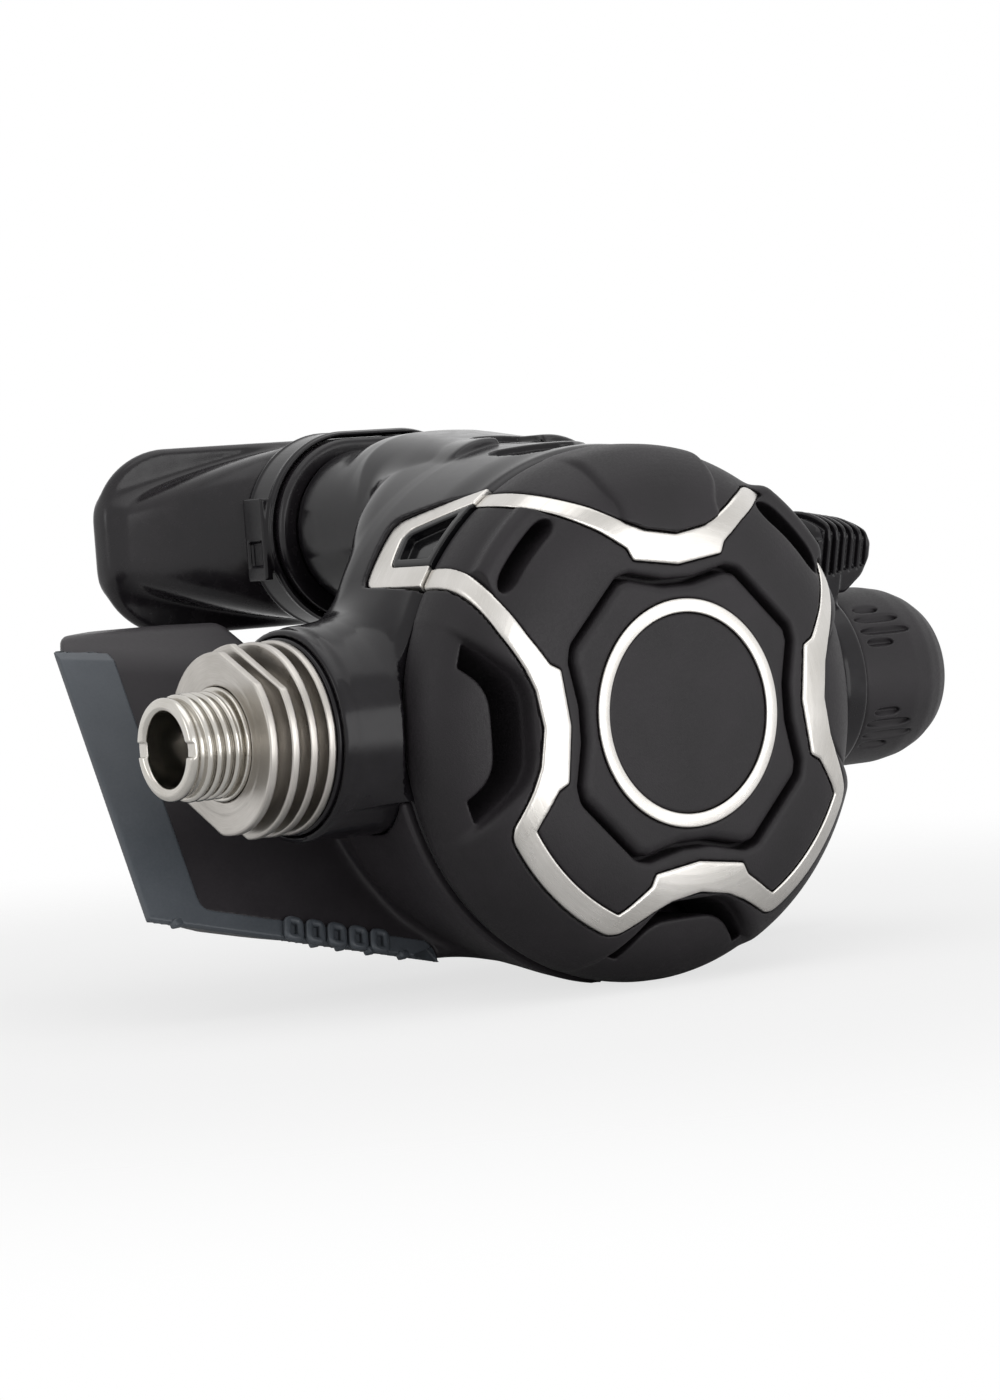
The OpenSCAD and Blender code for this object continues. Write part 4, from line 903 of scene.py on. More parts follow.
class Controls(Part):
    """The effort knob and the lever of the flow vane."""

    KNOB_FOOT = 45.2
    # a group's grooves: degrees from its middle, then start and length from the foot
    GRIP = ((-13, 1.6, 5.0), (-4.6, 1.2, 9.4), (4.6, 1.2, 8.2), (13, 2.2, 4.6))

    def groove(self, grid: Grid, degrees: float, start: float, length: float) -> Array:
        """Distance to one pointed grip groove in the knob's side."""
        angle = np.arctan2(grid.z - BARREL_Z, -(grid.y - BARREL_Y))
        turn = (angle - math.radians(degrees) + math.pi) % (2 * math.pi) - math.pi
        side = np.abs(turn) * 12.6
        along = grid.x - self.KNOB_FOOT - start
        wide = 0.62 * np.sqrt(np.clip(1 - (2 * (along / length) - 1) ** 2, 0, 1))
        beyond = np.maximum(np.abs(along - length / 2) - length / 2, 0)
        return np.maximum(side - wide + beyond, 12.0 + 0.9 * (side / 0.8) - grid.bar)

    def knob(self) -> bpy.types.Object:
        """Builds the knob with its groups of pointed grip grooves."""
        grid = Grid((44.8, -0.6, -12.6), (65.2, 26.6, 14.6), 0.22)
        profile = [
            (0.0, self.KNOB_FOOT), (12.5, self.KNOB_FOOT, 0.4), (12.9, 45.7, 0.8),
            (12.85, 54.9, 9.0),
            (12.3, 58.3, 6.0), (11.4, 60.7, 4.0), (10.2, 62.7, 3.0), (8.7, 64.0, 3.0),
            (6.9, 64.68, 3.0), (0.0, 64.7),
        ]
        body = Turned(rounded(profile, 0.1))(grid.bar, grid.x)
        # every other group is the mirror of the one before it
        grooves = nearest(
            self.groove(grid, 36 + 72 * group + (-1) ** group * offset, start, length)
            for group in range(5)
            for offset, start, length in self.GRIP
        )
        body = cut(body, grooves, 0.4)
        body = cut(body, np.maximum(grid.bar - 11.0, grid.x - 50.6))
        body = cut(body, np.maximum(grid.bar - 8.06, grid.x - 61.05))
        body = cut(body, grid.bar - 1.66)
        body = cut(body, np.maximum(grid.bar - 3.46, 63.3 - grid.x), 0.3)
        skin = Skin(grid, body).mesh("knob_grip", 190_000)
        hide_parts("adjustment_knob")
        return self.finishes.dress(skin, "cover_plastic", Body.KNOB)

    def lever(self) -> bpy.types.Object:
        """Builds the flow lever's ring and thumb tab."""
        grid = Grid((39.9, -4.6, -13.8), (51.6, 27.6, 27.0), 0.2)
        turn = math.radians(14)
        dy, dz = grid.y - BARREL_Y, grid.z - BARREL_Z
        side = dy * math.cos(turn) + dz * math.sin(turn)
        up = -dy * math.sin(turn) + dz * math.cos(turn)
        ring = common(grid.bar - 13.97, between(grid.x, 40.33, 44.77), 0.9)
        stem = np.maximum(np.maximum(np.abs(side) - 5, -up), up - 22)
        stem = np.maximum(stem, between(grid.x, 40.33, 44.77))
        tab = [
            (0.0, 14.4), (6.4, 14.4, 1.5), (9.5, 17.0, 3.0), (10.6, 19.6, 2.0),
            (10.6, 21.8, 1.5), (9.5, 23.6, 1.5), (1.6, 25.0, 1.2), (0.0, 23.4, 1.2),
        ]
        bow = 0.035 * side**2
        blade = common(outline(grid.x - 40.3, up + bow, rounded(tab, 1.0)), np.abs(side) - 5, 1.4)
        body = join(join(ring, stem, 1.0), blade, 0.8)
        # grooves up the tab's two sides and over its end
        depth = np.minimum(np.abs(side) * -1 + 4.3, 24.0 - up - bow - 0.17 * (grid.x - 40.3))
        grooves = nearest(
            np.maximum(np.abs(grid.x - (41.7 + 1.5 * i)) - 0.36, 17.6 + 0.18 * i - up - bow)
            for i in range(6)
        )
        body = cut(body, np.maximum(grooves, depth), 0.45)
        body = cut(body, grid.bar - 9.36)
        skin = Skin(grid, body).mesh("flow_lever", 150_000)
        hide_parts("venturi_lever")
        return self.finishes.dress(skin, "case_plastic", Body.VENTURI)

    def build(self) -> list[bpy.types.Object]:
        """Builds both controls."""
        return [self.knob(), self.lever()]


@dataclass(frozen=True)
class TeeSizes:
    """The exhaust tee's main sizes, in millimetres."""

    proud: float = 0.3
    half: float = 60.0
    deep: float = 17.0
    wall: float = 2.0
    high: float = 51.0
    dip: float = 13.2
    mid: float = 20.0
    plan_dip: float = 6.0
    top_mid: float = 35.4
    top_x: float = 29.0


class Tee(Part):
    """The wide exhaust tee and its slate border."""

    sizes = TeeSizes()

    def plan(self, over: float) -> list[Point2]:
        """The tee's outline from above, carried on past its outlets by over."""
        s = self.sizes
        x, v = s.half + over, over * s.plan_dip / s.half
        back = x if over else s.half - s.deep
        return rounded(
            [(-x, v, 0.2), (0, -s.plan_dip, 60), (x, v, 0.2), (back, s.deep, 0.2),
             (-back, s.deep, 0.2)], 0.2,
        )

    def face(self, over: float) -> list[Point2]:
        """The tee's outline from its front, carried on by over."""
        s = self.sizes
        x, lift = s.half + over, over * s.dip / (s.half - s.mid)
        return rounded(
            [(-x, lift, 0.2), (-s.mid, -s.dip, 30), (s.mid, -s.dip, 30), (x, lift, 0.2),
             (x, s.high, 0.2), (s.top_x + 2, s.high, 0.2), (s.top_x, s.top_mid, 1.5),
             (-s.top_x, s.top_mid, 1.5), (-s.top_x - 2, s.high, 0.2), (-x, s.high, 0.2)], 0.2,
        )

    def roof(self, grid: Grid, inset: float = 0.0) -> Array:
        """Distance to what lies under the roof."""
        slope = 0.62
        start = 13.1 - slope * 45.3
        climb = (grid.z - start - slope * grid.y + inset) / math.hypot(1, slope)
        return common(grid.z - 16.0 + inset, climb, 0.8)

    def floor(self, grid: Grid, inset: float = 0.0) -> Array:
        """Distance to what lies over the foot."""
        s = self.sizes
        low = TEE_DROP + s.dip * math.cos(TEE_LEAN) - s.plan_dip * math.sin(TEE_LEAN) + 0.3
        rise = (low - TEE_DROP - 0.2) / (s.half - s.mid)
        over = np.maximum(np.abs(grid.x) - s.mid, 0)
        front = np.clip((25.0 - grid.y) / 6.0, 0, 1)
        low = low + 2.0 * front * np.clip((20.4 - np.abs(grid.x)) / 0.7, 0, 1)
        slant = (-low + rise * over + inset - grid.z) / math.hypot(1, rise)
        return common(slant, -low + inset - grid.z, 4.0)

    def wing(self, grid: Grid, over: float = 0.0, inset: float = 0.0) -> Array:
        """Distance to the wing, or to its duct with over and inset given."""
        v, w = leaned(grid)
        soft = 1.4
        plan = outline_cells(grid, self.plan(over), v, inset)
        face = outline_cells(grid, self.face(over), w, inset)
        body = common(plan, face, soft)
        body = common(body, self.roof(grid, inset), soft)
        return common(body, self.floor(grid, inset), soft)

    def socket(self, grid: Grid, inset: float = 0.0) -> Array:
        """Distance to the part that wraps the case."""
        s = 36.8 - inset
        shape = [
            (0.0, 1.5), (s, 1.5, 0.4), (s - 0.5, 6), (s - 1.2, 11), (s - 1.8, 16), (s - 2.4, 21),
            (s - 4.4, 26), (s - 6.6, 31), (s - 7.6, 36), (0.0, 36),
        ]
        v, _ = leaned(grid)
        body = Turned(rounded(shape, 3.0))(grid.rho, grid.y)
        body = common(body, grid.z + 8.55 + inset, 0.5)
        return np.maximum(body, v - self.sizes.deep + 2)

    def border(self, grid: Grid, grow: float = 0.0) -> Array:
        """Distance to the slate border's layer."""
        s = self.sizes
        v, w = leaned(grid)
        dip = s.plan_dip / s.half
        front = (v + s.plan_dip - dip * np.abs(grid.x)) / math.hypot(1, dip)
        layer = between(front, -s.proud - grow, 0.9 + grow)
        band = 52.0 - np.abs(grid.x) - grow
        slant = s.dip / (s.half - s.mid)
        foot = (w + s.dip - slant * (np.abs(grid.x) - s.mid)) / math.hypot(1, slant)
        strip = np.maximum(foot - 2.6 - grow, s.mid - 0.5 - np.abs(grid.x) + 0.6 * foot - grow)
        zone = join(band, strip, 1.5)
        ends = np.maximum(np.abs(grid.x) - s.half - grow, -foot - grow)
        body = np.maximum(np.maximum(layer, zone), ends)
        return np.maximum(body, self.roof(grid, -grow))

    def body(self) -> bpy.types.Object:
        """Builds the tee: wing, duct and socket."""
        grid = Grid((-60.5, 0.8, -36.2), (60.5, 67.4, 16.8), 0.38)
        outer = join(self.wing(grid), self.socket(grid), 2.0)
        body = cut(outer, self.wing(grid, 20.0, self.sizes.wall), 0.6)
        inner = np.maximum(self.socket(grid, self.sizes.wall), 22 - grid.y)
        body = cut(body, inner)
        foot = [
            (0.0, -1.0), (36.3, -1.0), (36.3, 0.7), (34.75, 1.5), (34.25, 6.0), (33.55, 11.0),
            (32.95, 16.0), (32.35, 20.1), (30.75, 21.7), (29.1, 22.12), (0.0, 22.12),
        ]
        body = cut(body, Turned(foot)(grid.rho, grid.y))
        body = cut(body, grid.bar - 14.3)
        inside = np.maximum(grid.rho - 33.4, grid.y - 26)
        body = cut(body, np.maximum(inside, grid.bar - 11.7))
        body = cut(body, self.border(grid, -0.2))
        skin = Skin(grid, body).mesh("tee_body", 190_000)
        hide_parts("exhaust_tee")
        return self.finishes.dress(skin, "tee_plastic", Body.HOUSING)

    def trim(self) -> list[bpy.types.Object]:
        """Builds the slate border on both ends."""
        out = []
        for side, name in ((-1, "tee_trim_inlet"), (1, "tee_trim_knob")):
            low, high = sorted((side * 17.5, side * 60.4))
            grid = Grid((low, 18.8, -35.6), (high, 53.0, 16.5), 0.24)
            body = common(self.border(grid), np.abs(grid.x) - 59.98, 0.4)
            skin = Skin(grid, body).mesh(name, 120_000)
            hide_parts("tee_trim")
            out.append(self.finishes.dress(skin, "tee_border", Body.HOUSING))
        return out

    def build(self) -> list[bpy.types.Object]:
        """Builds the tee and its border."""
        return [self.body(), *self.trim()]


def outline_cells(grid: Grid, points: Sequence[Point2], across: Array, inset: float) -> Array:
    """Distance to an outline of (x, across), read from a table of it.

    Args:
        grid: The sample points.
        points: The outline, symmetric about x = 0.
        across: Its second coordinate at the sample points.
        inset: How far the outline is drawn in.

    Returns:
        The distances.
    """
    table = Turned([p for p in points if p[0] >= 0], 0.2)
    # the half outline is closed along x = 0, which lies inside the piece
    us = table.low[0] + np.arange(table.table.shape[0]) * table.spacing
    vs = table.low[1] + np.arange(table.table.shape[1]) * table.spacing
    table.table = outline(np.abs(us)[:, None], vs[None, :], points)
    return table(np.abs(grid.x) + 0 * across, across + 0 * grid.x) + inset


class Mouthpiece(Part):
    """The bite mouthpiece and the clamp that holds it."""

    # the lip flange bends round a point this far back
    BEND_Y = 171.0

    def body(self) -> bpy.types.Object:
        """Builds the mouthpiece: sleeve, throat, lip flange and bite tabs."""
        grid = Grid((-34.0, 50.8, 13.2), (34.0, 90.6, 42.2), 0.36)
        x, y, z = np.abs(grid.x), grid.y, grid.z - MOUTH_Z
        bend = np.sqrt(grid.x**2 + (y - self.BEND_Y) ** 2)
        sleeve = common(oval(grid, 13.15), between(y, 51.4, 62), 1.0)
        lip_y = self.BEND_Y - np.sqrt(np.maximum(98.7**2 - grid.x**2, 0))
        t = np.clip((y - 60) / (lip_y - 60), 0, 1)
        half = 18.2 + 14.6 * t**0.85
        u = x / half
        power = 2.6 + 3.4 * t
        high = 13.15 * (1 - t * 0.56 * np.clip(u, 0, 1.1) ** 1.3)
        shape = (u**power + (np.abs(z) / high) ** power) ** (1 / power)
        throat = (shape - 1) * np.minimum(high, half)
        throat = np.maximum(throat, np.maximum(60 - y, 98.4 - bend))
        over_x, over_z = np.maximum(x - 22.2, 0), np.maximum(np.abs(z) - 3.3, 0)
        end = np.sqrt(over_x**2 + over_z**2) - 10.7
        lip = common(end, between(bend, 97.45, 99.95), 1.6)
        body = join(join(sleeve, throat, 1.0), lip, 1.0 + 1.6 * (x / 33) ** 3)
        body = common(body, end - 0.1, 1.4)
        beside = np.abs(x - 17.5) - 4
        tab = common(np.maximum(beside, np.abs(z) - 2), between(y, 73, 89.6), 1.2)
        knob = common(np.maximum(beside, np.abs(z) - 5.5), between(y, 87.6, 89.6), 1.2)
        body = join(body, join(tab, knob, 1.5), 1.6)
        body = cut(body, np.maximum(oval(grid, 10.45), y - 60.05))
        body = cut(body, oval(grid, 8.6), 1.0)
        skin = Skin(grid, body).mesh("bite_mouthpiece", 190_000)
        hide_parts("mouthpiece")
        return self.finishes.dress(skin, "silicone", Body.HOUSING)

    def clamp(self) -> bpy.types.Object:
        """Builds the clamp with its buckle on the inlet's side."""
        grid = Grid((-20.6, 52.2, 13.0), (19.6, 60.6, 42.4), 0.22)
        along = grid.y
        band = np.maximum(oval(grid, 14.22), -(oval(grid, 13.26)))
        ribs = 0.22 * np.clip(1 - np.abs(np.abs(along - 56.35) - 2.5) / 0.5, 0, 1)
        body = common(band + 0.2 - ribs, between(along, 52.75, 59.95), 0.5)
        plate = np.maximum(np.abs(grid.x + 19.1) - 0.62, np.abs(grid.z - 27.1) - 5.9)
        plate = common(plate, between(along, 53.8, 58.9), 0.5)
        body = join(body, plate, 0.6)
        hole = np.maximum(np.abs(along - 56.35) - 1.5, np.abs(grid.z - 25.0) - 1.7)
        hole = np.maximum(hole, grid.x + 19.1)
        body = cut(body, hole, 0.4)
        skin = Skin(grid, body).mesh("mouthpiece_band", 120_000)
        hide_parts("mouthpiece_clamp")
        return self.finishes.dress(skin, "case_plastic", Body.HOUSING)

    def build(self) -> list[bpy.types.Object]:
        """Builds both pieces."""
        return [self.body(), self.clamp()]


# ---- What repeats along a path ----


@dataclass(frozen=True)
class Helix:
    """A wound thread, in millimetres.

    Args:
        radius: Radius at the thread's root.
        pitch: Distance between turns.
        turns: Number of turns.
        start: Where it starts along the barrel.
        flank: Height of the crest over the root.
    """

    radius: float
    pitch: float
    turns: float
    start: float
    flank: float


class Graph:
    """A short way to write a node tree."""

    def __init__(self, tree: bpy.types.NodeTree) -> None:
        """Keeps the tree."""
        self.tree = tree

    def add(self, kind: str, inputs: dict[Any, Any] | None = None, **settings: Any) -> Any:
        """Adds a node.

        Args:
            kind: The node's type.
            inputs: Values or sockets for its inputs, by name or number.
            settings: Its own settings.

        Returns:
            The node.
        """
        node = self.tree.nodes.new(kind)
        for key, value in settings.items():
            setattr(node, key, value)
        for key, value in (inputs or {}).items():
            if isinstance(value, bpy.types.NodeSocket):
                self.tree.links.new(value, node.inputs[key])
            else:
                node.inputs[key].default_value = value
        return node

    def math(self, how: str, *values: Any) -> Any:
        """Adds a maths node and gives its result."""
        node = self.add("ShaderNodeMath", dict(enumerate(values)), operation=how)
        return node.outputs[0]

    def vector(self, how: str, *values: Any) -> Any:
        """Adds a vector maths node and gives its result."""
        node = self.add("ShaderNodeVectorMath", dict(enumerate(values)), operation=how)
        return node.outputs[0]

    def scale(self, value: Any, share: Any) -> Any:
        """Scales a vector and gives the result."""
        node = self.add("ShaderNodeVectorMath", {0: value, 3: share}, operation="SCALE")
        return node.outputs[0]

    def mix(self, share: Any, a: Any, b: Any) -> Any:
        """Mixes two colours by a share and gives the result."""
        node = self.add("ShaderNodeMix", {0: share, 6: a, 7: b}, data_type="RGBA")
        return node.outputs[2]


def run_nodes(obj: bpy.types.Object, group: bpy.types.NodeTree, values: dict[str, Any]) -> None:
    """Runs a node group on an object with named inputs and keeps its mesh.

    Args:
        obj: The object that the group is put on.
        group: The group.
        values: Values for its inputs, by name.
    """
    modifier = obj.modifiers.new(group.name, "NODES")
    modifier.node_group = group
    for item in group.interface.items_tree:
        if item.item_type == "SOCKET" and item.in_out == "INPUT" and item.name in values:
            modifier[item.identifier] = values[item.name]
    bake_modifiers(obj)


def new_group(
    name: str, inputs: dict[str, tuple[str, Any]]
) -> tuple[bpy.types.NodeTree, Graph, Any, Any]:
    """Starts a geometry group with named inputs.

    Args:
        name: The group's name.
        inputs: Each input's socket type and default, by name.

    Returns:
        The group, its graph, its input node and its output node.
    """
    group = bpy.data.node_groups.new(name, "GeometryNodeTree")
    face = group.interface
    face.new_socket("Geometry", in_out="INPUT", socket_type="NodeSocketGeometry")
    for key, (kind, value) in inputs.items():
        socket = face.new_socket(key, in_out="INPUT", socket_type=kind)
        if value is not None:
            socket.default_value = value
    face.new_socket("Geometry", in_out="OUTPUT", socket_type="NodeSocketGeometry")
    graph = Graph(group)
    return group, graph, graph.add("NodeGroupInput"), graph.add("NodeGroupOutput")


def finish_group(graph: Graph, given: Any, out: Any, geometry: Any) -> None:
    """Ends a group with Realize Instances and Set Material."""
    real = graph.add("GeometryNodeRealizeInstances", {0: geometry}).outputs[0]
    dressed = graph.add("GeometryNodeSetMaterial", {0: real, 2: given.outputs["Material"]})
    graph.tree.links.new(dressed.outputs[0], out.inputs[0])


def wind(name: str, helix: Helix, material: bpy.types.Material) -> bpy.types.Object:
    """Winds a thread's crest about the barrel's axis.

    Args:
        name: The piece's name.
        helix: The thread's sizes.
        material: What it is made of.

    Returns:
        The thread as a plain mesh.
    """
    group, graph, given, out = new_group(
        "wound_thread",
        {
            "Radius": ("NodeSocketFloat", helix.radius * MM),
            "Pitch": ("NodeSocketFloat", helix.pitch * MM),
            "Turns": ("NodeSocketFloat", helix.turns),
            "Start": ("NodeSocketFloat", 0.0),
            "Material": ("NodeSocketMaterial", None),
        },
    )
    g = given.outputs
    line = graph.add("GeometryNodeCurvePrimitiveLine", {"Start": (0, 0, 0), "End": (1, 0, 0)})
    steps = graph.add("GeometryNodeResampleCurve", {"Curve": line.outputs[0], "Count": 480})
    share = graph.add("GeometryNodeSplineParameter").outputs["Factor"]
    turns = graph.math("MULTIPLY", share, g["Turns"])
    turn = graph.math("MULTIPLY", turns, 2 * math.pi)
    # the crest runs out into the root over the last part of each end
    ends = graph.math("MINIMUM", share, graph.math("SUBTRACT", 1.0, share))
    fade = graph.math("MINIMUM", graph.math("MULTIPLY", ends, 14.0), 1.0)
    sunk = graph.math("MULTIPLY", graph.math("SUBTRACT", fade, 1.0), 0.5 * MM)
    radius = graph.math("ADD", g["Radius"], sunk)
    along = graph.math("ADD", g["Start"], graph.math("MULTIPLY", turns, g["Pitch"]))
    y = graph.math("MULTIPLY", radius, graph.math("COSINE", turn))
    z = graph.math("MULTIPLY", radius, graph.math("SINE", turn))
    centre_y = graph.math("ADD", y, (BARREL_Y + SHIFT[1]) * MM)
    centre_z = graph.math("ADD", z, (BARREL_Z + SHIFT[2]) * MM)
    place = graph.add("ShaderNodeCombineXYZ", {0: along, 1: centre_y, 2: centre_z}).outputs[0]
    wound = graph.add("GeometryNodeSetPosition", {"Geometry": steps.outputs[0], "Position": place})
    crest = graph.add(
        "GeometryNodeCurvePrimitiveCircle", {"Resolution": 12, "Radius": helix.flank * MM}
    )
    pipe = graph.add(
        "GeometryNodeCurveToMesh",
        {"Curve": wound.outputs[0], "Profile Curve": crest.outputs[0], "Fill Caps": True},
    )
    smooth = graph.add("GeometryNodeSetShadeSmooth", {0: pipe.outputs[0]})
    finish_group(graph, given, out, smooth.outputs[0])
    obj = add_mesh(name, np.zeros((0, 3)), [])
    run_nodes(obj, group, {"Start": (helix.start + SHIFT[0]) * MM, "Material": material})
    return obj


def seed_blocks(
    name: str,
    places: Sequence[Point3],
    size: Point3,
    rounding: float,
    turn: float,
    material: bpy.types.Material,
) -> bpy.types.Object:
    """Sets a row of rounded blocks along the tee's leaning front.

    Args:
        name: The piece's name.
        places: Each block's middle.
        size: A block's size.
        rounding: Radius of its edges.
        turn: How far it is turned in the front's plane, in radians.
        material: What the blocks are made of.

    Returns:
        The row as a plain mesh.
    """
    group, graph, given, out = new_group(
        name + "_row",
        {
            "Size": ("NodeSocketVector", (1, 1, 1)),
            "Rounding": ("NodeSocketFloat", 0.0),
            "Lean": ("NodeSocketVector", (0, 0, 0)),
            "Material": ("NodeSocketMaterial", None),
        },
    )
    g = given.outputs
    cube = graph.add(
        "GeometryNodeMeshCube",
        {"Size": g["Size"], "Vertices X": 5, "Vertices Y": 5, "Vertices Z": 5},
    )
    # points beyond the core are drawn in to one radius from it
    spare = graph.add("ShaderNodeCombineXYZ", dict.fromkeys(range(3), g["Rounding"]))
    core = graph.vector("SUBTRACT", graph.scale(g["Size"], 0.5), spare.outputs[0])
    here = graph.add("GeometryNodeInputPosition").outputs[0]
    inner = graph.vector("MAXIMUM", here, graph.scale(core, -1.0))
    inner = graph.vector("MINIMUM", inner, core)
    away = graph.vector("NORMALIZE", graph.vector("SUBTRACT", here, inner))
    moved = graph.vector("ADD", inner, graph.scale(away, g["Rounding"]))
    soft = graph.add("GeometryNodeSetPosition", {"Geometry": cube.outputs[0], "Position": moved})
    smooth = graph.add("GeometryNodeSetShadeSmooth", {0: soft.outputs[0]})
    points = graph.add(
        "GeometryNodeInstanceOnPoints",
        {"Points": g["Geometry"], "Instance": smooth.outputs[0], "Rotation": g["Lean"]},
    )
    finish_group(graph, given, out, points.outputs[0])
    obj = add_mesh(name, places, [])
    values = {
        "Size": tuple(s * MM for s in size), "Rounding": rounding * MM,
        "Lean": (-TEE_LEAN, 0.0, turn), "Material": material,
    }
    run_nodes(obj, group, values)
    return obj


def clip_row(
    name: str,
    places: Sequence[Point3],
    size: tuple[float, float],
    wire: float,
    turn: float,
    material: bpy.types.Material,
) -> bpy.types.Object:
    """Sets a row of hollow rounded ribs against the tee's leaning front.

    Args:
        name: The piece's name.
        places: Each rib's middle.
        size: A rib's width and height.
        wire: Half the thickness of its wall.
        turn: How far it is turned in the front's plane, in radians.
        material: What the ribs are made of.

    Returns:
        The row as a plain mesh.
    """
    group, graph, given, out = new_group(
        name + "_row",
        {
            "Width": ("NodeSocketFloat", 0.002),
            "Height": ("NodeSocketFloat", 0.002),
            "Wire": ("NodeSocketFloat", 0.0004),
            "Turn": ("NodeSocketVector", (0, 0, 0)),
            "Lean": ("NodeSocketVector", (0, 0, 0)),
            "Material": ("NodeSocketMaterial", None),
        },
    )
    g = given.outputs
    square = graph.add(
        "GeometryNodeCurvePrimitiveQuadrilateral", {"Width": g["Width"], "Height": g["Height"]}
    )
    corner = graph.math("MULTIPLY", g["Width"], 0.3)
    soft = graph.add(
        "GeometryNodeFilletCurve", {"Curve": square.outputs[0], "Radius": corner}, mode="POLY"
    )
    soft.inputs["Count"].default_value = 4
    wall = graph.add("GeometryNodeCurvePrimitiveCircle", {"Resolution": 10, "Radius": g["Wire"]})
    ring = graph.add(
        "GeometryNodeCurveToMesh",
        {"Curve": soft.outputs[0], "Profile Curve": wall.outputs["Curve"], "Fill Caps": False},
    )
    smooth = graph.add("GeometryNodeSetShadeSmooth", {0: ring.outputs[0]})
    turned = graph.add(
        "GeometryNodeTransform", {"Geometry": smooth.outputs[0], "Rotation": g["Turn"]}
    )
    points = graph.add(
        "GeometryNodeInstanceOnPoints",
        {"Points": g["Geometry"], "Instance": turned.outputs[0], "Rotation": g["Lean"]},
    )
    finish_group(graph, given, out, points.outputs[0])
    obj = add_mesh(name, places, [])
    values = {
        "Width": size[0] * MM, "Height": size[1] * MM, "Wire": wire * MM,
        "Turn": (0.0, 0.0, turn), "Lean": (math.pi / 2 - TEE_LEAN, 0.0, 0.0), "Material": material,
    }
    run_nodes(obj, group, values)
    return obj


# ---- Finishes ----


def linear(code: str) -> tuple[float, float, float, float]:
    """Turns a hex colour into linear light."""
    out = []
    for i in (0, 2, 4):
        c = int(code[i : i + 2], 16) / 255
        out.append(c / 12.92 if c <= 0.04045 else ((c + 0.055) / 1.055) ** 2.4)
    return (out[0], out[1], out[2], 1.0)


@dataclass(frozen=True)
class Finish:
    """How one material looks.

    Args:
        name: What it is made of.
        colour: Its main colour.
        tint: The colour that it drifts towards.
        rough: Its roughness, from the smoothest to the roughest spots.
        metal: Whether it is a bare metal.
        grain: Size of its texture, in millimetres.
        bump: Height of its texture, in millimetres.
        brushed: The axis its brushing runs round or along, if it has any.
        soft: Strength of light that scatters inside it.
        specular: How strongly it mirrors, as the shader's specular level.
    """

    name: str
    colour: str
    tint: str
    rough: tuple[float, float]
    metal: bool = False
    grain: float = 1.0
    bump: float = 0.0
    brushed: str = ""
    soft: float = 0.0
    specular: float = 0.5


FINISHES: dict[str, Finish] = {
    # glossy moulded ABS: near black, clear reflections with a faint orange peel
    "case_plastic": Finish(
        "moulded_gloss_abs", "171518", "1e1c1f", (0.14, 0.22),
        grain=2.4, bump=0.006, specular=0.26,
    ),
    # glass-filled nylon with a fine spark-eroded grain: soft grey highlights
    "cover_plastic": Finish(
        "eroded_filled_nylon", "1d1b1d", "262326", (0.44, 0.58),
        grain=0.28, bump=0.030, specular=0.28,
    ),
    # brushed stainless steel sheet: bright, with fine lines round the cover's axis
    "trim_steel": Finish(
        "brushed_stainless_sheet", "dad7d3", "c4c1bc", (0.26, 0.38),
        metal=True, grain=0.09, bump=0.004, brushed="y",
    ),
    # polished polycarbonate: the darkest, sharpest black of all
    "window_plastic": Finish(
        "polished_polycarbonate", "0e0e10", "151517", (0.08, 0.14),
        grain=3.0, bump=0.003, specular=0.3,
    ),
    # bright nickel plate over turned brass
    "nickel_bright": Finish(
        "bright_nickel_plate", "cfccc6", "bdb9b2", (0.14, 0.24),
        metal=True, grain=0.08, bump=0.004, brushed="x",
    ),
    # satin nickel plate: softer, greyer and slightly warm
    "nickel_satin": Finish(
        "satin_nickel_plate", "c3bfba", "aca8a2", (0.30, 0.42),
        metal=True, grain=0.10, bump=0.006, brushed="x",
    ),
    # machined brass
    "brass_body": Finish(
        "turned_brass", "b59a55", "9c8348", (0.24, 0.36),
        metal=True, grain=0.10, bump=0.006, brushed="x",
    ),
    # drawn stainless wire and stampings
    "stainless": Finish(
        "drawn_stainless", "bfbfbd", "a6a6a4", (0.24, 0.36),
        metal=True, grain=0.25, bump=0.003,
    ),
    # moulded nitrile rubber: flat and dusty black
    "seal_rubber": Finish(
        "moulded_nitrile", "1b1b1b", "252524", (0.62, 0.78),
        grain=0.5, bump=0.012,
    ),
    # moulded black silicone: smooth, with a soft wide shine
    "silicone": Finish(
        "moulded_silicone", "1d1b1e", "242124", (0.20, 0.30),
        grain=1.6, bump=0.005, soft=0.02, specular=0.34,
    ),
    # moulded acetal inside the case
    "inner_plastic": Finish(
        "moulded_acetal", "58585b", "4c4c4f", (0.38, 0.50),
        grain=0.8, bump=0.010,
    ),
    # satin moulded plastic of the exhaust tee
    "tee_plastic": Finish(
        "moulded_satin_nylon", "2e2b2e", "353235", (0.38, 0.48),
        grain=0.45, bump=0.010, specular=0.24,
    ),
    # slate-grey overmoulded border
    "tee_border": Finish(
        "overmoulded_elastomer", "4b5056", "555a60", (0.40, 0.50),
        grain=0.40, bump=0.010, specular=0.4,
    ),
}


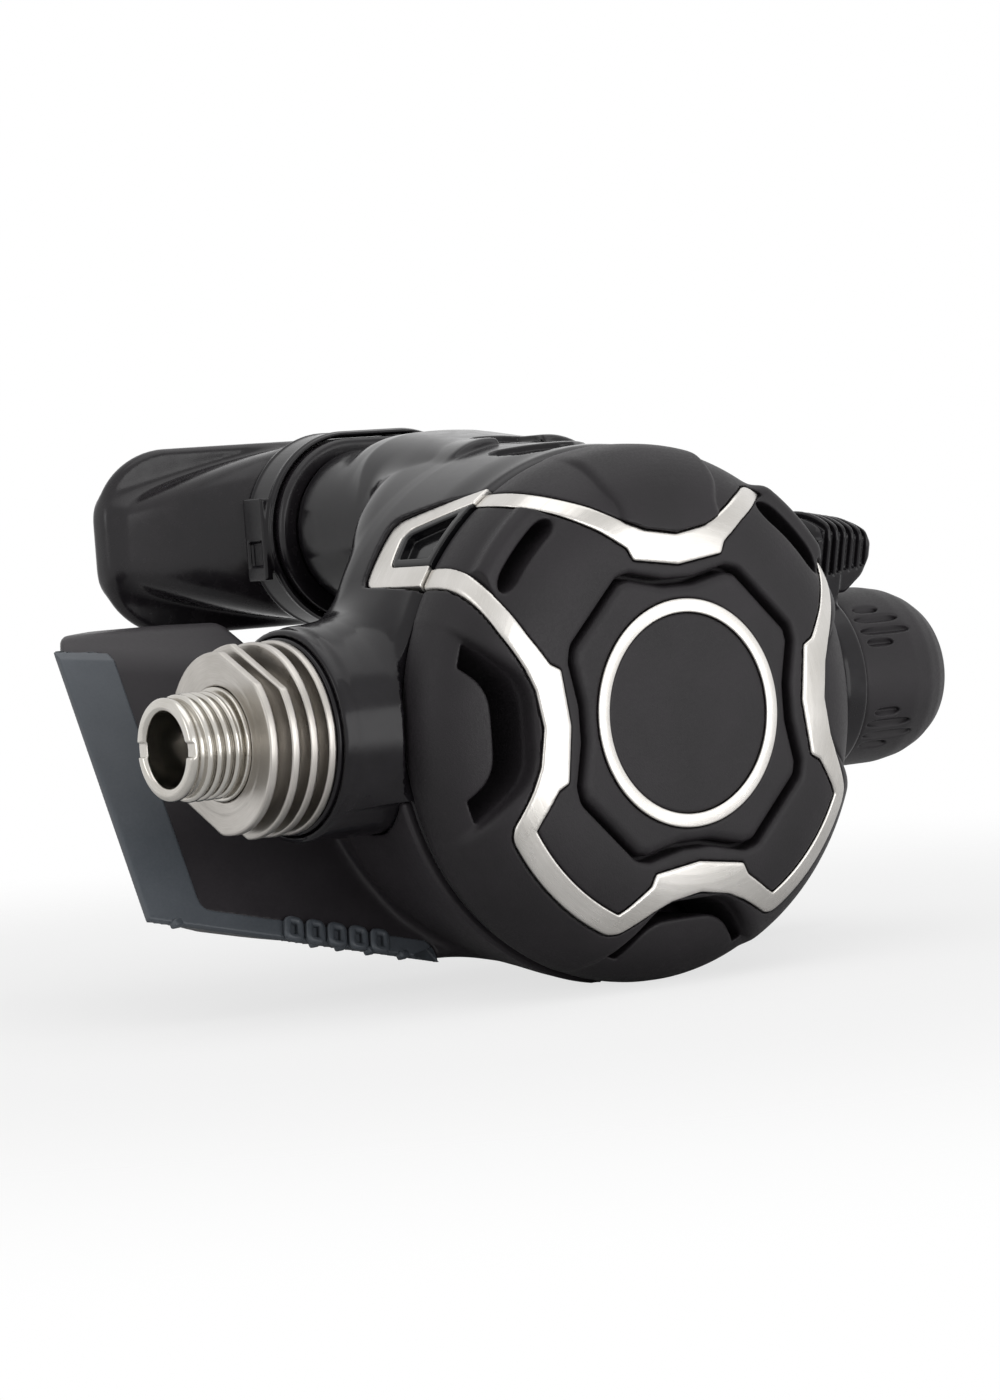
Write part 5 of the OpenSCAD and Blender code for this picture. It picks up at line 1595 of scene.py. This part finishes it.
class Finishes:
    """Makes the materials and dresses pieces in them."""

    def __init__(self) -> None:
        """Starts with no material made."""
        self.made: dict[str, bpy.types.Material] = {}

    def material(self, slot: str) -> bpy.types.Material:
        """Gives the material of a slot, made at first use."""
        if slot not in self.made:
            self.made[slot] = self._make(FINISHES[slot])
        return self.made[slot]

    def _make(self, finish: Finish) -> bpy.types.Material:
        """Makes one material.

        Args:
            finish: How it looks.

        Returns:
            The material.
        """
        material = bpy.data.materials.new(finish.name)
        material.use_nodes = True
        material.node_tree.nodes.clear()
        graph = Graph(material.node_tree)
        out = graph.add("ShaderNodeOutputMaterial")
        shader = graph.add("ShaderNodeBsdfPrincipled", {"Metallic": 1.0 if finish.metal else 0.0})
        here = graph.add("ShaderNodeTexCoord").outputs["Object"]
        here_fine = self._brushed(graph, here, finish) if finish.brushed else here
        scale = 1 / (finish.grain * MM)
        wide = graph.add(
            "ShaderNodeTexNoise", {"Vector": here, "Scale": 1 / (9.0 * MM), "Detail": 3.0}
        ).outputs[0]
        fine = graph.add(
            "ShaderNodeTexNoise",
            {"Vector": here_fine, "Scale": scale, "Detail": 4.0, "Roughness": 0.6},
        ).outputs[0]
        blend = graph.math(
            "ADD", graph.math("MULTIPLY", wide, 0.6), graph.math("MULTIPLY", fine, 0.4)
        )
        drift = graph.add("ShaderNodeMapRange", {0: blend, 1: 0.36, 2: 0.64}).outputs[0]
        colour = graph.mix(drift, linear(finish.colour), linear(finish.tint))
        low, high = finish.rough
        rough = graph.add(
            "ShaderNodeMapRange", {0: fine, 1: 0.35, 2: 0.65, 3: low, 4: high}
        ).outputs[0]
        # edges are handled smooth: their roughness is lowered a little
        shape = graph.add("ShaderNodeNewGeometry").outputs["Pointiness"]
        worn = graph.add("ShaderNodeMapRange", {0: shape, 1: 0.50, 2: 0.56}).outputs[0]
        rough = graph.math("SUBTRACT", rough, graph.math("MULTIPLY", worn, 0.05))
        graph.tree.links.new(colour, shader.inputs["Base Color"])
        graph.tree.links.new(rough, shader.inputs["Roughness"])
        if finish.bump:
            bump = graph.add(
                "ShaderNodeBump",
                {"Height": fine, "Distance": finish.bump * MM, "Strength": 1.0},
            )
            graph.tree.links.new(bump.outputs[0], shader.inputs["Normal"])
        if finish.brushed:
            shader.inputs["Anisotropic"].default_value = 0.45
            tangent = graph.add(
                "ShaderNodeTangent", direction_type="RADIAL", axis=finish.brushed.upper()
            )
            graph.tree.links.new(tangent.outputs[0], shader.inputs["Tangent"])
        shader.inputs["Specular IOR Level"].default_value = 0.5 if finish.metal else finish.specular
        if finish.soft:
            shader.inputs["Subsurface Weight"].default_value = finish.soft
            shader.inputs["Subsurface Radius"].default_value = (0.8 * MM, 0.6 * MM, 0.5 * MM)
        graph.tree.links.new(shader.outputs[0], out.inputs[0])
        return material

    def _brushed(self, graph: Graph, here: Any, finish: Finish) -> Any:
        """Stretches the texture's coordinates round an axis, as brushing does."""
        about_cover = finish.brushed == "y"
        if about_cover:
            middle = (SHIFT[0] * MM, 0, SHIFT[2] * MM)
        else:
            middle = (0, (BARREL_Y + SHIFT[1]) * MM, (BARREL_Z + SHIFT[2]) * MM)
        moved = graph.vector("SUBTRACT", here, middle)
        parts = graph.add("ShaderNodeSeparateXYZ", {0: moved}).outputs
        x, y, z = parts[0], parts[1], parts[2]
        a, b, along = (x, z, y) if about_cover else (y, z, x)
        square = graph.math("ADD", graph.math("MULTIPLY", a, a), graph.math("MULTIPLY", b, b))
        radius = graph.math("SQRT", square)
        turn = graph.math("MULTIPLY", graph.math("ARCTAN2", b, a), 0.35 * MM)
        return graph.add("ShaderNodeCombineXYZ", {0: radius, 1: turn, 2: along}).outputs[0]

    def dress(self, obj: bpy.types.Object, slot: str, body: Body) -> bpy.types.Object:
        """Gives a piece the material of its slot, and its body.

        Args:
            obj: The piece.
            slot: The record's material slot.
            body: The body that it rides on.

        Returns:
            The same piece.
        """
        obj.data.materials.clear()
        obj.data.materials.append(self.material(slot))
        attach(obj, body.value)
        LOG.info("%s: %d faces, %s", obj.name, len(obj.data.polygons), slot)
        return obj


@dataclass(frozen=True)
class View:
    """The camera's place and lens.

    Args:
        turn: Its heading round the part, in degrees.
        rise: How far it looks down on the part, in degrees.
        roll: How far it is rolled, in degrees.
        away: Its distance from the middle of the cover's joint, in millimetres.
        lens: Its focal length, in millimetres.
        shift: How far its frame is shifted, as a share of the frame's width.
    """

    turn: float = 37.881
    rise: float = 2.719
    roll: float = 4.224
    away: float = 589.213
    lens: float = 155.96
    shift: Point2 = (-0.118436, 0.013669)


class Studio:
    """The camera, the lights and the floor."""

    view = View()
    FLOOR_Z, FLOOR_HALF = -36.2, 3.0
    # how far the floor that the camera sees is lifted towards white
    FLOOR_LIFT = 0.72

    def camera(self) -> None:
        """Sets the camera: a long lens, low down and from the inlet's side."""
        view = self.view
        turn, rise, roll = (math.radians(a) for a in (view.turn, view.rise, view.roll))
        back = Vector(
            (-math.sin(turn) * math.cos(rise), -math.cos(turn) * math.cos(rise), math.sin(rise))
        )
        level = Vector((math.cos(turn), -math.sin(turn), 0.0))
        upright = back.cross(level)
        right = level * math.cos(roll) - upright * math.sin(roll)
        up = level * math.sin(roll) + upright * math.cos(roll)
        data = bpy.data.cameras.new("camera")
        data.sensor_fit, data.sensor_width, data.lens = "HORIZONTAL", 36.0, view.lens
        data.shift_x, data.shift_y = view.shift
        obj = link_object("camera", data)
        place = back * (view.away * MM) + Vector(SHIFT) * MM
        axes = Matrix((right, up, back)).transposed().to_4x4()
        obj.matrix_world = Matrix.Translation(place) @ axes
        bpy.context.scene.camera = obj

    def light(self, name: str, place: Point3, size: tuple[float, float], power: float) -> None:
        """Hangs a soft light that faces the part.

        Args:
            name: The light's name.
            place: Where it hangs, in metres from the part's middle.
            size: Its width and height in metres.
            power: Its power in watts.
        """
        data = bpy.data.lights.new(name, "AREA")
        data.shape, data.size, data.size_y, data.energy = "RECTANGLE", size[0], size[1], power
        obj = link_object(name, data)
        middle = Vector((0.06, 0.02, 0.0))
        spot = middle + Vector(place)
        aim = (middle - spot).to_track_quat("-Z", "Y")
        obj.matrix_world = Matrix.Translation(spot) @ aim.to_matrix().to_4x4()

    def floor(self) -> None:
        """Lays the pale floor under the part."""
        low = (self.FLOOR_Z + SHIFT[2]) * MM
        size = self.FLOOR_HALF
        data = bpy.data.meshes.new("floor")
        data.from_pydata(
            [(-size, -size, low), (size, -size, low), (size, size, low), (-size, size, low)],
            [],
            [(0, 1, 2, 3)],
        )
        obj = link_object("floor", data)
        material = bpy.data.materials.new("floor")
        material.use_nodes = True
        material.node_tree.nodes.clear()
        graph = Graph(material.node_tree)
        here = graph.add("ShaderNodeTexCoord").outputs["Object"]
        away = graph.add(
            "ShaderNodeVectorMath", {0: here, 1: (0.05, 0.03, low)}, operation="DISTANCE"
        )
        # pale card that gives way to the white backdrop away from the part
        fade = graph.add("ShaderNodeMapRange", {0: away.outputs["Value"], 1: 0.10, 2: 0.26})
        fade.interpolation_type = "SMOOTHSTEP"
        card = graph.add("ShaderNodeBsdfDiffuse", {"Color": linear("f4f4f4")})
        white = graph.add("ShaderNodeEmission", {"Color": (1, 1, 1, 1), "Strength": 1.0})
        seen = graph.add("ShaderNodeLightPath").outputs["Is Camera Ray"]
        lift = graph.math("MULTIPLY", seen, self.FLOOR_LIFT)
        pale = graph.add("ShaderNodeMixShader", {0: lift, 1: card.outputs[0], 2: white.outputs[0]})
        clear = graph.add("ShaderNodeBsdfTransparent")
        shader = graph.add(
            "ShaderNodeMixShader", {0: fade.outputs[0], 1: pale.outputs[0], 2: clear.outputs[0]}
        )
        graph.add("ShaderNodeOutputMaterial", {0: shader.outputs[0]})
        data.materials.append(material)

    def world(self) -> None:
        """Makes the background white where it is seen, and a plain grey light elsewhere."""
        world = bpy.data.worlds.new("studio")
        world.use_nodes = True
        world.node_tree.nodes.clear()
        graph = Graph(world.node_tree)
        path = graph.add("ShaderNodeLightPath").outputs
        seen = graph.math("MAXIMUM", path["Is Camera Ray"], path["Is Transmission Ray"])
        seen = graph.math("MAXIMUM", seen, path["Is Glossy Ray"])
        strength = graph.math("ADD", 0.44, graph.math("MULTIPLY", seen, 0.56))
        sky = graph.add("ShaderNodeBackground", {"Color": (1, 1, 1, 1), "Strength": strength})
        out = graph.add("ShaderNodeOutputWorld")
        graph.tree.links.new(sky.outputs[0], out.inputs[0])
        bpy.context.scene.world = world

    def build(self) -> None:
        """Sets up the whole studio."""
        scene = bpy.context.scene
        scene.view_settings.view_transform = "Standard"
        self.camera()
        self.world()
        self.floor()
        self.light("overhead", (0.1, -0.2, 1.0), (1.2, 1.0), 3.3)
        self.light("front", (0.15, -1.1, 0.0), (1.2, 0.8), 6.0)
        self.light("left", (-1.0, 0.1, 0.3), (0.3, 0.5), 0.8)


class Strip(Part):
    """The moulded ribs and stops on the tee's foot strip."""

    tee = TeeSizes()

    def place(self, side: int, x: float, up: float, out: float) -> Point3:
        """A place on the strip, up from its lower edge and out from its front."""
        t = self.tee
        w = -t.dip + (x - t.mid) * t.dip / (t.half - t.mid) + up
        v = -t.plan_dip + x * (t.plan_dip / t.half) - t.proud - out
        c, s = math.cos(TEE_LEAN), math.sin(TEE_LEAN)
        return (side * x, TEE_BACK + v * c + w * s, -TEE_DROP - v * s + w * c)

    def build(self) -> list[bpy.types.Object]:
        """Sets the hollow ribs, and the small stops under them, on both sides."""
        slant = math.atan2(self.tee.dip, self.tee.half - self.tee.mid)
        material = self.finishes.material("tee_border")
        out = []
        for side, name in ((-1, "inlet"), (1, "knob")):
            ribs = [self.place(side, 40.2 - 2.97 * i, 1.3, 0.45) for i in range(5)]
            obj = clip_row("strip_ribs_" + name, ribs, (1.9, 2.6), 0.55, side * slant, material)
            out.append(self.finishes.dress(obj, "tee_border", Body.HOUSING))
            stops = [self.place(side, x, 0.1, -0.4) for x in (56.0, 37.2, 33.7, 29.6, 25.0)]
            size = (1.9, 1.3, 1.1)
            obj = seed_blocks("strip_stops_" + name, stops, size, 0.3, -side * slant, material)
            out.append(self.finishes.dress(obj, "tee_border", Body.HOUSING))
        return out


# CAD pieces that stay as they are, in better materials
KEPT = {
    "valve_barrel": "brass_body", "barrel_nut": "nickel_satin", "valve_orifice": "stainless",
    "orifice_o_ring": "seal_rubber", "inlet_o_ring": "seal_rubber", "purge_spring": "stainless",
    "diaphragm": "silicone", "diaphragm_plate": "stainless", "diaphragm_retainer": "inner_plastic",
    "demand_lever": "stainless", "lever_pin": "stainless", "poppet": "inner_plastic",
    "low_pressure_seat": "seal_rubber", "poppet_spring": "stainless",
    "adjuster_screw": "nickel_satin", "adjuster_o_ring": "seal_rubber",
    "knob_insert": "brass_body", "knob_screw": "stainless", "venturi_vane": "inner_plastic",
    "exhaust_valve": "silicone",
}


# springs and the joints that press them: node, joint, axis, stroke in millimetres
SPRINGS = (("purge_spring", "purge_press", 1, 4.0), ("poppet_spring", "poppet_slide", 0, 1.2))


def dress_kept(finishes: Finishes) -> None:
    """Gives the inner CAD pieces their materials."""
    for node, slot in KEPT.items():
        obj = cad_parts[node]
        obj.data.materials.clear()
        obj.data.materials.append(finishes.material(slot))


def shorten_springs() -> None:
    """Gives each of the two springs its own copy of its mesh; they don't shorten with their joints.
    """
    for node, joint, index, stroke in SPRINGS:
        low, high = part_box(node)
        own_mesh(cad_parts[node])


def main() -> None:
    logging.basicConfig(level=logging.INFO, format="%(name)s %(message)s")
    finishes = Finishes()
    pieces: list[bpy.types.Object] = []
    for part in (Cover, Case, Inlet, Controls, Tee, Mouthpiece, Strip):
        built = part(finishes).build()
        pieces += built
        LOG.info("%s built, %d pieces", part.__name__, len(built))
    dress_kept(finishes)
    shorten_springs()
    Studio().build()
    LOG.info("%d pieces in all", len(pieces))


if __name__ == "__main__":
    main()
